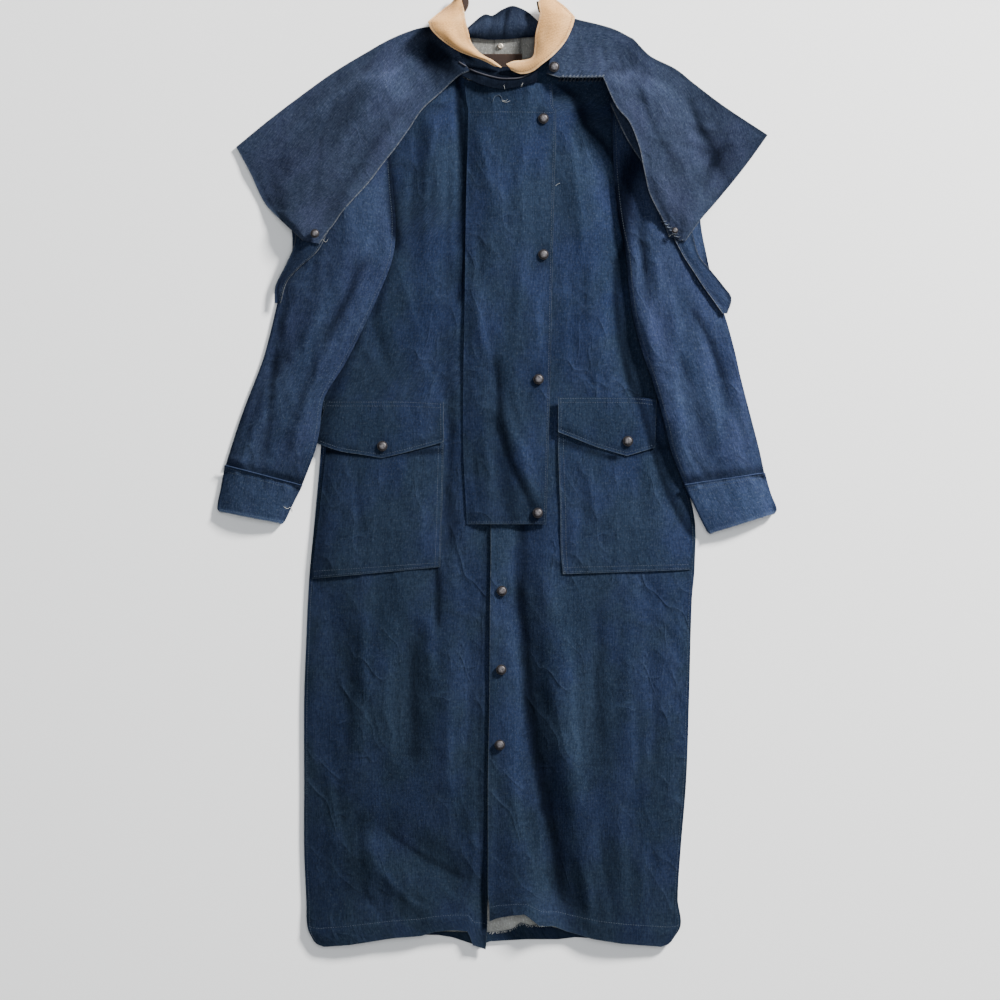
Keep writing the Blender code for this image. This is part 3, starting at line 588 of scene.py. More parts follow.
def heightsFrom(tree, places, up=True):
    # Height of the top (or underside) of a solid at each place, in millimetres
    heights = np.zeros(places.shape[:2])
    start, way = (1.0, down) if up else (-1.0, upwards)
    for at in np.ndindex(heights.shape):
        x, y = places[at] * mm
        hit = tree.ray_cast(Vector((x, y, start)), way)[0]
        if hit is None:
            hit = tree.find_nearest(Vector((x, y, 0.02)))[0]
        heights[at] = hit.z / mm
    return heights


def blurred(values, times):
    for _ in range(times):
        for _ in range(2):
            wide = np.pad(values, ((1, 1), (0, 0)), mode="edge")
            values = ((wide[:-2] + 2 * wide[1:-1] + wide[2:]) / 4).T
    return values


def crumple(x, y, amount, crisp=1.0):
    # Soft hand-scale waves with finer creased crests between them, longer down the cloth
    broad = ripple(x, y, 34, 95, 3)
    crests = 1 - 2 * np.abs(ripple(x + 12 * broad, y, 19, 46, 7))
    fine = 1 - 2 * np.abs(ripple(x, y + 9 * broad, 9, 17, 11))
    return amount * (0.75 * broad + 0.46 * crests + 0.18 * crisp * fine)


wearSet = {"smoothing": 14, "most": 1.6, "perMm": 0.13}
# How dark and how soft the painted shadow right of the cape's and sleeve's edges is
paintedShadowSet = {"depth": 0.93, "blur": 1.3, "ends": 8, "coreFrom": 6, "coreOver": 16, "coreEased": 0.6}


def wearAndShadingOf(x, y, heights, piece):
    # Crests rub pale and hollows keep their dye; the listed marks paint shade and some light, and a few are
    # rubbed edges; cloth right of the cape's and sleeve's edges gets a painted shadow
    proud = np.clip(heights - blurred(heights, wearSet["smoothing"]), -wearSet["most"], wearSet["most"])
    worn = piece.get("worn", 0.5) + wearSet["perMm"] * proud + foldsAt(x, y, piece.get("shadingAndWear", ()), False)
    worn = worn * (1 - paintedShadowSet["depth"] * paintedShadowOf(x, y, piece.get("lee", ())))
    return np.clip(worn, 0, 1)


def paintedShadowOf(x, y, tables):
    # Painted shadow right of an edge given as places (x, y), as under the cape and beside the sleeve
    shade = np.zeros_like(x)
    for table in tables:
        points = np.array(sorted(table, key=lambda point: point[1]), float)
        edge = np.interp(y, points[:, 1], points[:, 0])
        ends = [np.clip(gap / paintedShadowSet["ends"], 0, 1) for gap in (y - points[0, 1], points[-1, 1] - y)]
        core = np.clip((x - edge - paintedShadowSet["coreFrom"]) / paintedShadowSet["coreOver"], 0, 1)
        deep = (1 - paintedShadowSet["coreEased"] * core) * ends[0] * ends[1]
        shade = np.maximum(shade, deep / (1 + np.exp(np.clip((edge - x) / paintedShadowSet["blur"], -30, 30))))
    return shade


laid = {"points": [], "faces": []}


def keepLaid(obj):
    start = len(laid["points"])
    laid["points"] += [v.co.copy() for v in obj.data.vertices]
    laid["faces"] += [tuple(start + i for i in p.vertices) for p in obj.data.polygons]


def clearOf(grid, heights, rise):
    # Lifts a shell where its underside would meet what was laid before it
    if not laid["points"]:
        return heights
    tree = BVHTree.FromPolygons(laid["points"], laid["faces"])
    heights = heights.copy()
    for at in np.ndindex(heights.shape):
        x, y = grid[at] * mm
        hit = tree.ray_cast(Vector((x, y, 1.0)), down)[0]
        if hit is not None:
            heights[at] = max(heights[at], hit.z / mm + rise)
    return heights


def distancesOf(grid, places):
    width = np.linalg.norm(grid[:, -1] - grid[:, 0], axis=1)[:, None]
    steps = np.linalg.norm(np.diff(grid, axis=0), axis=2).mean(axis=1)
    along = np.concatenate([[0], np.cumsum(steps)])[:, None] + np.zeros((1, grid.shape[1]))
    return {
        "first": places[None, :] * width, "second": (1 - places[None, :]) * width,
        "start": along, "end": along[-1] - along,
    }


hemSet = {"height": 0.7, "blur": 0.9, "groove": 0.55, "grooveWidth": 1.5}


def hemRelief(away, hems):
    # A turned hem is double cloth: a proud band with a soft groove where it is stitched
    relief = np.zeros_like(away["start"])
    for side, width, stitchAt in hems:
        d = away[side]
        band = hemSet["height"] / (1 + np.exp(np.clip((d - width) / hemSet["blur"], -30, 30)))
        dip = np.exp(-(((d - stitchAt) / hemSet["grooveWidth"]) ** 2)) if stitchAt else 0
        relief += band - hemSet["groove"] * dip
    return relief


def gridMesh(name, points, uvs, edges, worn, probe, closed=False):
    # One face between each four neighbours, and round to the first column where it is closed
    rows, columns = points.shape[:2]
    numbers = np.arange(rows * columns).reshape(rows, columns)
    if closed:
        numbers = np.concatenate([numbers, numbers[:, :1]], axis=1)
    corners = np.stack([numbers[:-1, :-1], numbers[1:, :-1], numbers[1:, 1:], numbers[:-1, 1:]], axis=-1)
    faces = corners.reshape(-1, 4).tolist()
    flat = points.reshape(-1, 3)
    a, b, c = (flat[i] for i in faces[probe][:3])
    if np.cross(b - a, c - a)[2] < 0:
        faces = [face[::-1] for face in faces]
    mesh = bpy.data.meshes.new(name)
    mesh.from_pydata((flat * mm).tolist(), [], faces)
    order = np.array([loop.vertex_index for loop in mesh.loops])
    uvs = (uvs.reshape(-1, 2)[order] * mm).astype(np.float32)
    mesh.uv_layers.new(name="cloth").data.foreach_set("uv", uvs.ravel())
    for label, values in (("edge", edges * mm), ("worn", worn)):
        layer = mesh.attributes.new(label, "FLOAT", "POINT")
        layer.data.foreach_set("value", values.ravel().astype(np.float32))
    return addObject(name, mesh)


def choose(obj):
    bpy.ops.object.select_all(action="DESELECT")
    obj.select_set(True)
    bpy.context.view_layer.objects.active = obj


def giveWall(obj, wall, rounded=0.0):
    choose(obj)
    solidify = obj.modifiers.new("wall", "SOLIDIFY")
    solidify.thickness = wall * mm
    solidify.offset = -1
    bpy.ops.object.modifier_apply(modifier=solidify.name)
    if rounded:
        bevel = obj.modifiers.new("roundedEdge", "BEVEL")
        bevel.width = rounded * mm
        bevel.segments = 2
        bevel.limit_method = "ANGLE"
        bevel.angle_limit = math.radians(50)
        bpy.ops.object.modifier_apply(modifier=bevel.name)
    bpy.ops.object.shade_smooth_by_angle(angle=math.radians(55))


stitchLines = []


def noteStitches(piece, name, grid, away):
    for side, offset in piece.get("stitches", ()):
        d = away[side]
        if side in ("first", "second"):
            columns = np.array([np.interp(offset, np.sort(row), np.arange(len(row))) for row in d])
            columns = d.shape[1] - 1 - columns if side == "second" else columns
            rows = np.arange(len(d), dtype=float)
        else:
            pick = np.interp(offset, np.sort(d[:, 0]), np.arange(len(d)))
            columns = np.arange(d.shape[1], dtype=float)
            rows = np.full(len(columns), len(d) - 1 - pick if side == "end" else pick)
        line = []
        for row, column in zip(rows, columns):
            r, c = min(int(row), grid.shape[0] - 2), min(int(column), grid.shape[1] - 2)
            fr, fc = row - r, column - c
            top = grid[r, c] * (1 - fc) + grid[r, c + 1] * fc
            low = grid[r + 1, c] * (1 - fc) + grid[r + 1, c + 1] * fc
            line.append(top * (1 - fr) + low * fr)
        stitchLines.append((name, np.array(line)))


def nameOf(piece):
    first, *others = piece["node"].split("_")
    return piece.get("name", first + "".join(word.title() for word in others) + "Shell")


def finishCloth(obj, piece, grid, away, width, area):
    length = away["start"].max()
    obj.data.materials.append(piece.get("material", denim))
    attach(obj, "root")
    if not piece.get("extra"):
        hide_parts(piece["node"])
    flat, area = (width * mm, length * mm), min(area, width * length) * mm * mm
    keepLaid(obj)
    noteStitches(piece, obj.name, grid, away)
    print("laid", obj.name, len(obj.data.polygons), "faces")


# How far in from a side the creases fade out, their least share, and how an end is pressed flat
shellSet = {"rim": 12, "rimLeast": 0.25, "press": 1.6, "pressReach": 7}
tubeSet = {
    "rim": 16, "endRim": 14, "endLeast": 0.1, "press": 3.2, "pressReach": 9, "hollow": 0.5, "floorGap": 0.1,
    "columnsBelow": 3,  # the underside has one column for each three on top
}


def pressed(away, piece, settings):
    # How much each side in flatAt sinks
    sunk = 0
    for side in piece.get("flatAt", ()):
        sunk = sunk + settings["press"] * np.exp(-((away[side] / settings["pressReach"]) ** 2))
    return sunk


def layShell(piece):
    # One flat-laid panel: its outline from the plan, its height from the solid
    wall, hems = piece.get("wall", 1.3), piece.get("hems", ())
    grid, solid, places = planGrid(piece)
    heights = blurred(heightsFrom(treeOf(piece["node"]), solid), piece.get("soften", 5))
    x, y = grid[..., 0], grid[..., 1]
    away = distancesOf(grid, places)
    rim = np.clip(np.minimum(away["first"], away["second"]) / shellSet["rim"], shellSet["rimLeast"], 1)
    heights += foldsAt(x, y, piece.get("creases", ())) * rim
    heights += crumple(x, y, piece.get("slack", 0.5), piece.get("crisp", 1.3)) * rim + piece.get("drop", 0.0)
    heights += foldsAt(x, y, piece.get("lifts", ()), False)
    worn = wearAndShadingOf(x, y, heights, piece)
    heights += hemRelief(away, hems) - pressed(away, piece, shellSet)
    heights = clearOf(grid, heights, wall + piece.get("gap", 0.3))
    heights = np.maximum(np.maximum(blurred(heights, 1), heights - 0.2), wall)
    sides = piece.get("rubbed") or [hem[0] for hem in hems] or ["first", "second", "start", "end"]
    edges = np.min([away[side] for side in sides], axis=0)
    uvs = np.stack([away["first"], away["start"]], axis=2)
    if piece.get("turned"):
        uvs = uvs[..., ::-1]
    points = np.concatenate([grid, heights[..., None]], axis=2)
    obj = gridMesh(nameOf(piece), points, uvs, edges, worn, 0)
    giveWall(obj, wall, piece.get("rounded", 0.0))
    width = np.linalg.norm(grid[:, -1] - grid[:, 0], axis=1).max()
    area = np.abs(np.cross(grid[1:, 1:] - grid[:-1, :-1], grid[1:, :-1] - grid[:-1, 1:])).sum() / 2
    finishCloth(obj, piece, grid, away, width, area)


def layTube(piece):
    # A flat-laid sleeve or cuff: an open tube whose two layers meet in folds at its sides
    wall, hems = piece.get("wall", 1.2), piece.get("hems", ())
    grid, solid, places = planGrid(piece)
    tree = treeOf(piece["node"])
    top = blurred(heightsFrom(tree, solid), 3)
    under = blurred(heightsFrom(tree, solid, up=False), 3)
    x, y = grid[..., 0], grid[..., 1]
    away = distancesOf(grid, places)
    rim = np.clip(np.minimum(away["first"], away["second"]) / tubeSet["rim"], 0, 1)
    rim = rim * np.clip(away["end"] / tubeSet["endRim"], tubeSet["endLeast"], 1)
    crumpled = crumple(x, y, piece.get("slack", 0.9), piece.get("crisp", 1.6))
    top += (foldsAt(x, y, piece.get("creases", ())) + crumpled) * rim
    top += foldsAt(x, y, piece.get("lifts", ()), False) * np.clip(5 * rim, 0, 1)
    worn = wearAndShadingOf(x, y, top, piece)
    top += hemRelief(away, hems) - pressed(away, piece, tubeSet)
    if piece["on"] != ["floor"]:
        under = clearOf(grid, under, 0.4)
    under = np.maximum(under, tubeSet["floorGap"])
    top = np.maximum(top, under + 2 * wall + tubeSet["hollow"])
    middle = (top + under) / 2
    for edge in (0, -1):
        top[:, edge] = under[:, edge] = middle[:, edge]
    columns = top.shape[1]
    pick = np.arange(columns - 2, 0, -tubeSet["columnsBelow"])

    def ring(upper, lower):
        return np.concatenate([upper, lower[:, pick]], axis=1)

    points = np.concatenate([ring(grid, grid), ring(top, under)[..., None]], axis=2)
    across = ring(away["first"], 2 * away["first"][:, -1:] - away["first"])
    uvs = np.stack([across, ring(away["start"], away["start"])], axis=2)
    edge = np.min([away[side] for side in [hem[0] for hem in hems] or ["end"]], axis=0)
    obj = gridMesh(nameOf(piece), points, uvs, ring(edge, edge), ring(worn, worn), columns // 2, closed=True)
    giveWall(obj, wall)
    around = 2 * np.linalg.norm(grid[:, -1] - grid[:, 0], axis=1)
    finishCloth(obj, piece, grid, away, around.max(), around.mean() * away["start"].max())


# Back, with the hem turned up inside
backSet = {
    "name": "backShell", "node": "back_panel", "material": wrongSide, "spacing": 11.0,
    # its mark lightens the hem's grey patch where the fronts shade it: painted light
    "on": ["floor"], "wall": 1.5, "slack": 0.2, "soften": 2, "shadingAndWear": ((-30, -648, 80, -648, 22, 1.0),),
    "plan": (
        (-58, 606, 66, 606), (-96, 598, 104, 600), (-138, 576, 150, 579), (-160, 553, 173, 555),
        (-164, 487, 178, 487), (-170, 401, 187, 401), (-207, 330, 204, 330), (-215, 245, 215, 245),
        (-224, 159, 225, 159), (-232, 102, 238, 102), (-244, 36, 252, 36), (-258, -69, 277, -63),
        (-267, -155, 275, -155), (-271, -240, 274, -240), (-272, -326, 271, -326), (-272, -440, 267, -440),
        (-272, -540, 261, -540), (-271, -611, 257, -611), (-267, -648, 257, -648), (-254, -668, 240, -668),
    ),
    "hem": (
        (-255, -666), (-138, -660), (-84, -661), (-64, -664), (-43, -671), (-27, -676), (-10, -670),
        (41, -667), (87, -667), (111, -664), (175, -668), (240, -669),
    ),
}
backHemSet = {
    "name": "backHemShell", "node": "back_hem_fold",
    "on": ["backShell"], "slack": 0.3, "hems": (("start", 1.5, None),), "worn": 0.6, "spacing": 2.5,
    "plan": ((-262, -653, 250, -653), (-252, -667, 238, -669)),
    "hem": backSet["hem"],
    "brim": ((-262, -654), (-14, -657), (8, -655), (22, -652), (34, -643), (48, -647), (64, -646), (90, -652),
             (250, -654)),
}
capeBackSet = {
    "node": "cape_back", "spacing": 11.0,
    "on": ["floor"], "wall": 1.5, "slack": 0.0, "soften": 0, "breaks": (6,),
    "plan": (
        (-64, 609, 70, 609), (-110, 607, 120, 612), (-156, 596, 190, 606), (-232, 556, 248, 566),
        (-276, 528, 280, 545), (-322, 494, 324, 512), (-366, 461, 379, 475), (-347, 426, 348, 436),
        (-325, 386, 314, 391), (-302, 358, 286, 357), (-266, 323, 260, 322), (-217, 276, 218, 276),
        (-138, 227, 147, 227), (-81, 207, 90, 207),
    ),
}
for panel in (capeBackSet, backSet, backHemSet):
    layShell(panel)
print("back laid")

# Inside of the neck: facing, blank label and the collar's denim stand
facingSet = {
    "node": "neck_facing", "slot": "denim_wrong_side", "material": wrongSide, "spacing": 2.5,
    "on": ["backShell"], "slack": 0.25, "turned": True, "worn": 0.29,
    "creases": ((-4, 618, -4, 546, 1.2, -0.7), (33, 618, 33, 546, 1.2, -0.7)),
    # painted shade under the stand and the collar, and darker seam lines
    "shadingAndWear": (
        (56, 618, 50, 560, 8, -0.12), (-4, 616, -4, 546, 1.4, -0.9), (33, 616, 33, 546, 1.4, -0.9),
        (-46, 622, 60, 622, 4, -0.3),
    ),
    "plan": ((-52, 620, -43, 560), (-4, 621, -4, 548), (33, 621, 33, 548), (66, 620, 58, 562)),
}
labelSet = {
    "node": "neck_label", "slot": "label_cloth", "material": labelCloth,
    "spacing": 4.0, "on": ["neckFacingShell"], "wall": 0.8, "slack": 0.2, "turned": True,
    "plan": ((-24, 595, -24, 576), (36, 595, 36, 576)),
}
standSet = {
    "node": "collar_stand", "material": greyedDenim, "spacing": 4.0,
    "on": ["backShell"], "slack": 0.6, "turned": True, "hems": (("first", 1.5, None),), "worn": 0.36,
    # painted shade in its middle crease and along its foot
    "shadingAndWear": ((10, 620, 16, 655, 3, -0.3), (-53, 614, 68, 616, 4, -0.2)),
    "creases": ((-14, 610, -6, 640, 3, -2.0), (34, 615, 40, 648, 5, 1.6), (10, 620, 16, 655, 4, -1.2)),
    "plan": (
        (-53, 624, -53, 610), (-43, 631, -41, 617), (-33, 640, -30, 617), (-24, 648, -20, 616),
        (-16, 652, -13, 615), (-7, 650, -6, 615), (6, 658, 4, 615), (21, 664, 19, 616), (33, 661, 30, 617),
        (44, 655, 41, 618), (58, 642, 57, 619), (68, 632, 68, 616),
    ),
}
for panel in (facingSet, labelSet, standSet):
    layShell(panel)
print("neck laid")

# Fronts
frontRightSet = {
    "node": "front_right", "on": ["backShell"], "slack": 0.8, "worn": 0.48,
    "hems": (("end", 26, 26), ("second", 3, None)), "stitches": (("end", 26), ("first", 4)),
    "lifts": ((-56, 548, -56, 330, 5, -2.2),),
    # painted shade beside the flap, along the sleeve's edge, at the armhole and in the folds, and a painted
    # shadow beside the placket's edge
    "shadingAndWear": (
        (-56, 556, -52, 250, 6, -0.45), (-160, 449, -144, 330, 9, -0.5), (-148, 330, -170, 230, 7, -0.35),
        (-196, 200, -236, 100, 8, -0.35), (-100, 480, -96, 320, 9, -0.16), (-70, 330, -66, 120, 10, -0.12),
        (-66, -90, -70, -30, 9, -0.15), (-84, -140, -84, -212, 4, -0.3), (-64, -100, -60, 60, 8, -0.2),
        (-154, -514, -47, -577, 5, -0.12), (-13, -60, -17, -660, 4, -0.25),
        (-120, -250, -116, -397, 9, -0.18),
    ),
    "plan": (
        (-158, 552, -80, 604), (-161, 525, -58, 570), (-163, 498, -24, 550), (-164, 470, 30, 543),
        (-165, 437, 33, 487), (-168, 387, 33, 401), (-207, 326, 33, 330), (-215, 245, 31, 245),
        (-230, 159, 30, 159), (-250, 102, 29, 102), (-251, 35, 29, 35), (-260, -69, 27, -69),
        (-268, -155, 26, -155), (-272, -240, 24, -240), (-275, -326, 23, -326), (-275, -440, 16, -440),
        (-275, -540, 4, -540), (-272, -611, -13, -611), (-270, -655, -14, -645), (-261, -677, -16, -677),
    ),
    "hem": (
        (-261, -669), (-256, -674), (-246, -677), (-210, -674), (-147, -664), (-108, -661), (-88, -655),
        (-63, -653), (-40, -655), (-36, -674), (-16, -681),
    ),
    "creases": (
        (-160, -508, -118, -540, 4, -1.5), (-118, -540, -92, -562, 3.5, -1.6),
        (-92, -556, -50, -580, 4, -1.2), (-171, -560, -110, -622, 5, 1.5), (-200, -498, -208, -540, 4, -1.2),
        (-130, -528, -96, -548, 5, 1.3), (-190, -600, -160, -636, 4, -1.3), (-76, -590, -50, -616, 4, 1.2),
        (-128, -600, -96, -616, 4, -1.1), (-214, -250, -216, -420, 7, -1.6),
        (-187, -200, -184, -380, 6, 1.4), (-150, -230, -146, -420, 8, 1.6),
        (-116, -250, -113, -380, 6, -2.0), (-93, -190, -90, -320, 6, 1.6), (-66, -330, -62, -470, 7, 1.8),
        (-40, -220, -44, -420, 5, -1.4), (-240, -420, -232, -600, 8, 1.5), (-200, -470, -190, -590, 7, -1.5),
        (-30, -480, -34, -620, 5, 1.2), (-88, 500, -96, 300, 7, 1.8), (-110, 480, -122, 340, 6, -1.4),
        (-66, 480, -68, 260, 5, -1.3), (-70, 120, -72, -60, 6, -1.8), (-58, 60, -60, -60, 4, 1.2),
        (-140, 300, -110, 200, 7, 1.4), (-180, 230, -150, 140, 6, -1.2), (-84, -145, -86, -215, 4, -1.8),
    ),
}
# Left edges of the painted shadow that the cape and the sleeve cast on the front
capeShadowEdge = (
    (74, 556), (101, 537), (114, 510), (121, 492), (148, 464), (164, 438), (180, 401), (184, 368), (180, 332),
    (166, 300), (164, 245), (170, 192), (177, 159), (185, 123),
)
sleeveShadowEdge = (
    (164, 262), (164, 245), (170, 192), (177, 159), (185, 123), (200, 92), (212, 52), (220, 23), (231, -12),
    (247, -48), (261, -72), (278, -98),
)
frontLeftSet = {
    "node": "front_left", "on": ["backShell", "frontRightShell"], "slack": 0.8, "worn": 0.5,
    # painted shade in the deep fold and other folds and darker towards the bottom right, and a rubbed pale
    # placket edge
    "shadingAndWear": (
        (37, -80, 34, -183, 7, -0.32), (34, -183, 47, -334, 8, -0.28), (47, -334, 71, -478, 9, -0.26),
        (71, -478, 92, -600, 9, -0.24), (60, -360, 88, -560, 12, -0.08), (-6, -90, -8, -600, 4, 0.2),
        (150, -200, 156, -420, 9, -0.10), (196, -220, 204, -460, 9, -0.10), (120, -480, 150, -640, 8, -0.12),
        (190, -540, 180, -660, 70, -0.09),
    ),
    # painted shadow from the cape and the sleeve
    "lee": (capeShadowEdge, sleeveShadowEdge),
    "hems": (("end", 24, 24), ("first", 3, None)), "stitches": (("end", 24), ("second", 4)),
    "plan": (
        (70, 606, 171, 558), (56, 576, 174, 530), (40, 557, 177, 502), (4, 543, 178, 473),
        (-3, 487, 181, 437), (-6, 401, 187, 387), (-7, 330, 207, 326), (-7, 245, 218, 245),
        (-9, 159, 228, 159), (-9, 102, 240, 102), (-9, 35, 254, 35), (-9, -69, 281, -63),
        (-9, -126, 282, -135), (-10, -183, 278, -183), (-11, -326, 274, -326), (-13, -440, 270, -440),
        (-13, -540, 262, -540), (-13, -605, 258, -611), (-11, -632, 262, -651), (-11, -657, 249, -677),
    ),
    "hem": (
        (-11, -640), (1, -635), (21, -631), (40, -629), (61, -646), (80, -646), (100, -655), (118, -660),
        (135, -665), (178, -672), (212, -675), (234, -677), (244, -674), (249, -669),
    ),
    "creases": (
        (30, -90, 33, -200, 5, -2.5), (34, -190, 48, -334, 6, -3.0), (48, -334, 72, -478, 7, -3.2),
        (72, -478, 92, -590, 6, -2.8), (55, -470, 70, -600, 4, 1.6), (20, -240, 28, -400, 6, 1.4),
        (100, -230, 112, -420, 7, 1.8), (147, -220, 152, -400, 8, -1.3), (190, -200, 196, -430, 8, 1.2),
        (220, -260, 222, -470, 6, -1.2), (175, -470, 186, -620, 7, 1.6), (150, -520, 172, -640, 6, -1.4),
        (215, -500, 208, -620, 7, 1.3), (120, -560, 134, -640, 5, 1.4), (110, 460, 122, 330, 7, 1.4),
        (130, 330, 126, 200, 8, -1.3), (95, 300, 98, 150, 6, 1.2), (160, 260, 150, 150, 7, 1.2),
    ),
}
layShell(frontRightSet)
layShell(frontLeftSet)
flapSet = {
    "node": "storm_flap", "wall": 1.2, "gap": 0.15,
    "on": ["frontLeftShell", "frontRightShell"], "slack": 0.6, "worn": 0.46, "flatAt": ("first", "end"),
    # painted shade in its folds and across its top, and painted shadow round its snaps
    "shadingAndWear": (
        (-1, 155, 4, 68, 7, -0.25), (4, 68, 48, -44, 9, -0.3), (10, 40, 20, -60, 14, -0.2),
        (66, 501, 66, 500, 9, -0.3), (66, 308, 66, 307, 9, -0.3), (59, 131, 59, 130, 9, -0.3),
        (58, -59, 58, -60, 9, -0.3), (-30, 545, 30, 540, 14, -0.2),
    ),
    "hems": (("first", 2.5, None), ("second", 2.5, None), ("end", 2.5, None)), "rubbed": ("second", "end"),
    "stitches": (("second", 3), ("end", 3), ("start", 44)),
    "plan": (
        (-47, 556, 78, 551), (-43, 524, 80, 520), (-41, 514, 84, 513), (-44, 387, 81, 387),
        (-46, 245, 78, 245), (-48, 130, 76, 130), (-48, 31, 73, 31), (-43, -75, 70, -75),
    ),
    "creases": (
        (-27, 245, -12, 158, 5, 1.8), (-1, 155, 4, 68, 5, -2.2), (4, 68, 16, 20, 5, -2.2),
        (16, 20, 48, -44, 5, -2.0), (20, 68, 50, -20, 6, 1.6), (59, 245, 60, 175, 4, 1.4),
        (-24, 470, -8, 390, 5, 1.4), (30, 470, 22, 380, 6, -1.2), (-30, 360, -22, 280, 5, -1.2),
        (40, 300, 30, 190, 6, 1.2), (-20, 60, -8, -40, 5, 1.4), (-32, 40, -24, -50, 4, -1.3),
        (26, 130, 40, 60, 5, 1.3), (-10, 540, -2, 500, 3, 1.1), (20, 545, 24, 500, 3, -1.1),
        (50, 548, 46, 510, 4, 1.0),
    ),
}
layShell(flapSet)
print("fronts laid")

# Pockets
pocketCut = {
    "wall": 0.8, "gap": 0.1, "flatAt": ("first", "second", "end"),
    "hems": (("first", 2.5, None), ("second", 2.5, None), ("end", 9, 9)),  # the top is under the flap
}
pocketRightSet = {
    **pocketCut, "node": "pocket_right", "on": ["frontRightShell"], "rubbed": ("second", "end"),
    "stitches": (("second", 2), ("second", 7.5), ("end", 2.5), ("end", 8.5)),
    # painted shadow under the flap and along its outer side
    "shadingAndWear": ((-262, 30, -76, 30, 5, -0.4), (-258, 20, -262, -140, 22, -0.2)),
    "plan": (
        (-236, 96, -76, 99), (-243, 36, -76, 38), (-253, -55, -78, -55), (-260, -112, -80, -112),
        (-264, -153, -81, -136),
    ),
    "creases": (
        (-140, 20, -120, -60, 8, 1.4), (-200, 0, -190, -90, 8, -1.2), (-100, -20, -104, -110, 6, 1.2),
    ),
}
pocketLeftSet = {
    **pocketCut, "node": "pocket_left", "on": ["frontLeftShell"], "rubbed": ("first", "end"),
    # painted shadow beside the sleeve
    "stitches": (("first", 2), ("first", 7.5), ("end", 2.5), ("end", 8.5)), "lee": (sleeveShadowEdge,),
    # painted shadow under the flap
    "shadingAndWear": ((87, 44, 164, 20, 5, -0.35), (164, 20, 240, 34, 4, -0.3)),
    "plan": (
        (87, 99, 235, 99), (87, 36, 250, 36), (90, -55, 274, -58), (91, -112, 279, -112),
        (94, -146, 276, -140),
    ),
    "creases": ((130, 10, 150, -70, 8, 1.3), (200, 10, 214, -80, 8, -1.2), (110, -40, 112, -120, 6, 1.1)),
}
pocketFlapCut = {
    "wall": 1.2, "gap": 0.15, "flatAt": ("second",), "turned": True, "slack": 0.5,
    "hems": (("second", 2.5, 5), ("start", 2, None), ("end", 2, None)),
}
pocketFlapRightSet = {
    **pocketFlapCut, "node": "pocket_flap_right", "on": ["pocketRightShell"], "breaks": (3,),
    "stitches": (("first", 2.5), ("first", 8), ("second", 4.5), ("end", 4)),
    # painted shade at its end, and painted shadow round its snap
    "shadingAndWear": ((-238, 96, -258, 46, 14, -0.3), (-163, 36, -163, 35, 9, -0.25)),
    "plan": (
        (-241, 101, -262, 42), (-217, 101, -224, 29), (-188, 101, -193, 24), (-163, 101, -164, 19),
        (-135, 101, -134, 26), (-110, 100, -104, 34), (-76, 98, -76, 42),
    ),
}
pocketFlapLeftSet = {
    **pocketFlapCut, "node": "pocket_flap_left", "on": ["pocketLeftShell"], "breaks": (4,),
    "stitches": (("first", 2.5), ("first", 8), ("second", 4.5), ("start", 4)),
    # painted shadow round its snap and beside the sleeve
    "shadingAndWear": ((186, 43, 186, 42, 8, -0.25),), "lee": (sleeveShadowEdge,),
    "plan": (
        (87, 106, 87, 56), (111, 106, 113, 46), (135, 106, 138, 36), (161, 106, 164, 28),
        (184, 106, 185, 22), (205, 105, 205, 28), (227, 102, 225, 34),
    ),
}
for pocket in (pocketRightSet, pocketLeftSet, pocketFlapRightSet, pocketFlapLeftSet):
    layShell(pocket)
print("pockets laid")

# Sleeves and cuffs
sleeveCut = {"material": sleeveDenim, "slack": 1.1, "flatAt": ("end",)}
sleeveRightSet = {
    **sleeveCut, "node": "sleeve_right", "on": ["frontRightShell", "floor"], "worn": 0.74,
    "stitches": (("second", 5),),
    "shadingAndWear": (
        # painted shade along the body and in the folds, and one lighter patch
        (-151, 455, -148, 400, 5, -0.7), (-148, 400, -146, 340, 5, -0.7), (-298, 240, -316, 159, 7, -0.25),
        (-317, 159, -332, 20, 8, -0.2), (-195, 296, -238, 200, 7, -0.3), (-380, 14, -280, -14, 5, -0.25),
        (-300, 90, -345, 0, 30, 0.15), (-250, 335, -285, 300, 16, -0.3), (-160, 480, -150, 380, 12, -0.3),
    ),
    "plan": (
        (-178, 549, -150, 535), (-210, 528, -150, 498), (-245, 494, -151, 448), (-274, 451, -148, 401),
        (-295, 387, -144, 352), (-292, 316, -148, 304), (-312, 245, -170, 247), (-324, 195, -193, 198),
        (-335, 156, -217, 152), (-356, 102, -245, 105), (-369, 66, -252, 59), (-379, 35, -258, 31),
        (-388, 6, -279, -23),
    ),
    "creases": (
        (-300, 250, -317, 159, 6, -2.6), (-317, 159, -329, 31, 5, -2.2), (-190, 296, -210, 250, 6, -2.6),
        (-210, 250, -235, 207, 5, -2.6), (-240, 260, -275, 170, 9, 2.2), (-300, 120, -345, 60, 6, 1.8),
        (-262, 150, -300, 60, 7, -1.8), (-180, 330, -200, 280, 5, 1.8), (-270, 100, -290, 20, 6, 1.6),
        (-340, 110, -362, 30, 5, -1.5), (-250, 330, -262, 280, 7, -1.6), (-230, 190, -262, 130, 5, 1.5),
        *puckers((-384, 16), (-276, -12), 11, 10, 1.1),
    ),
}
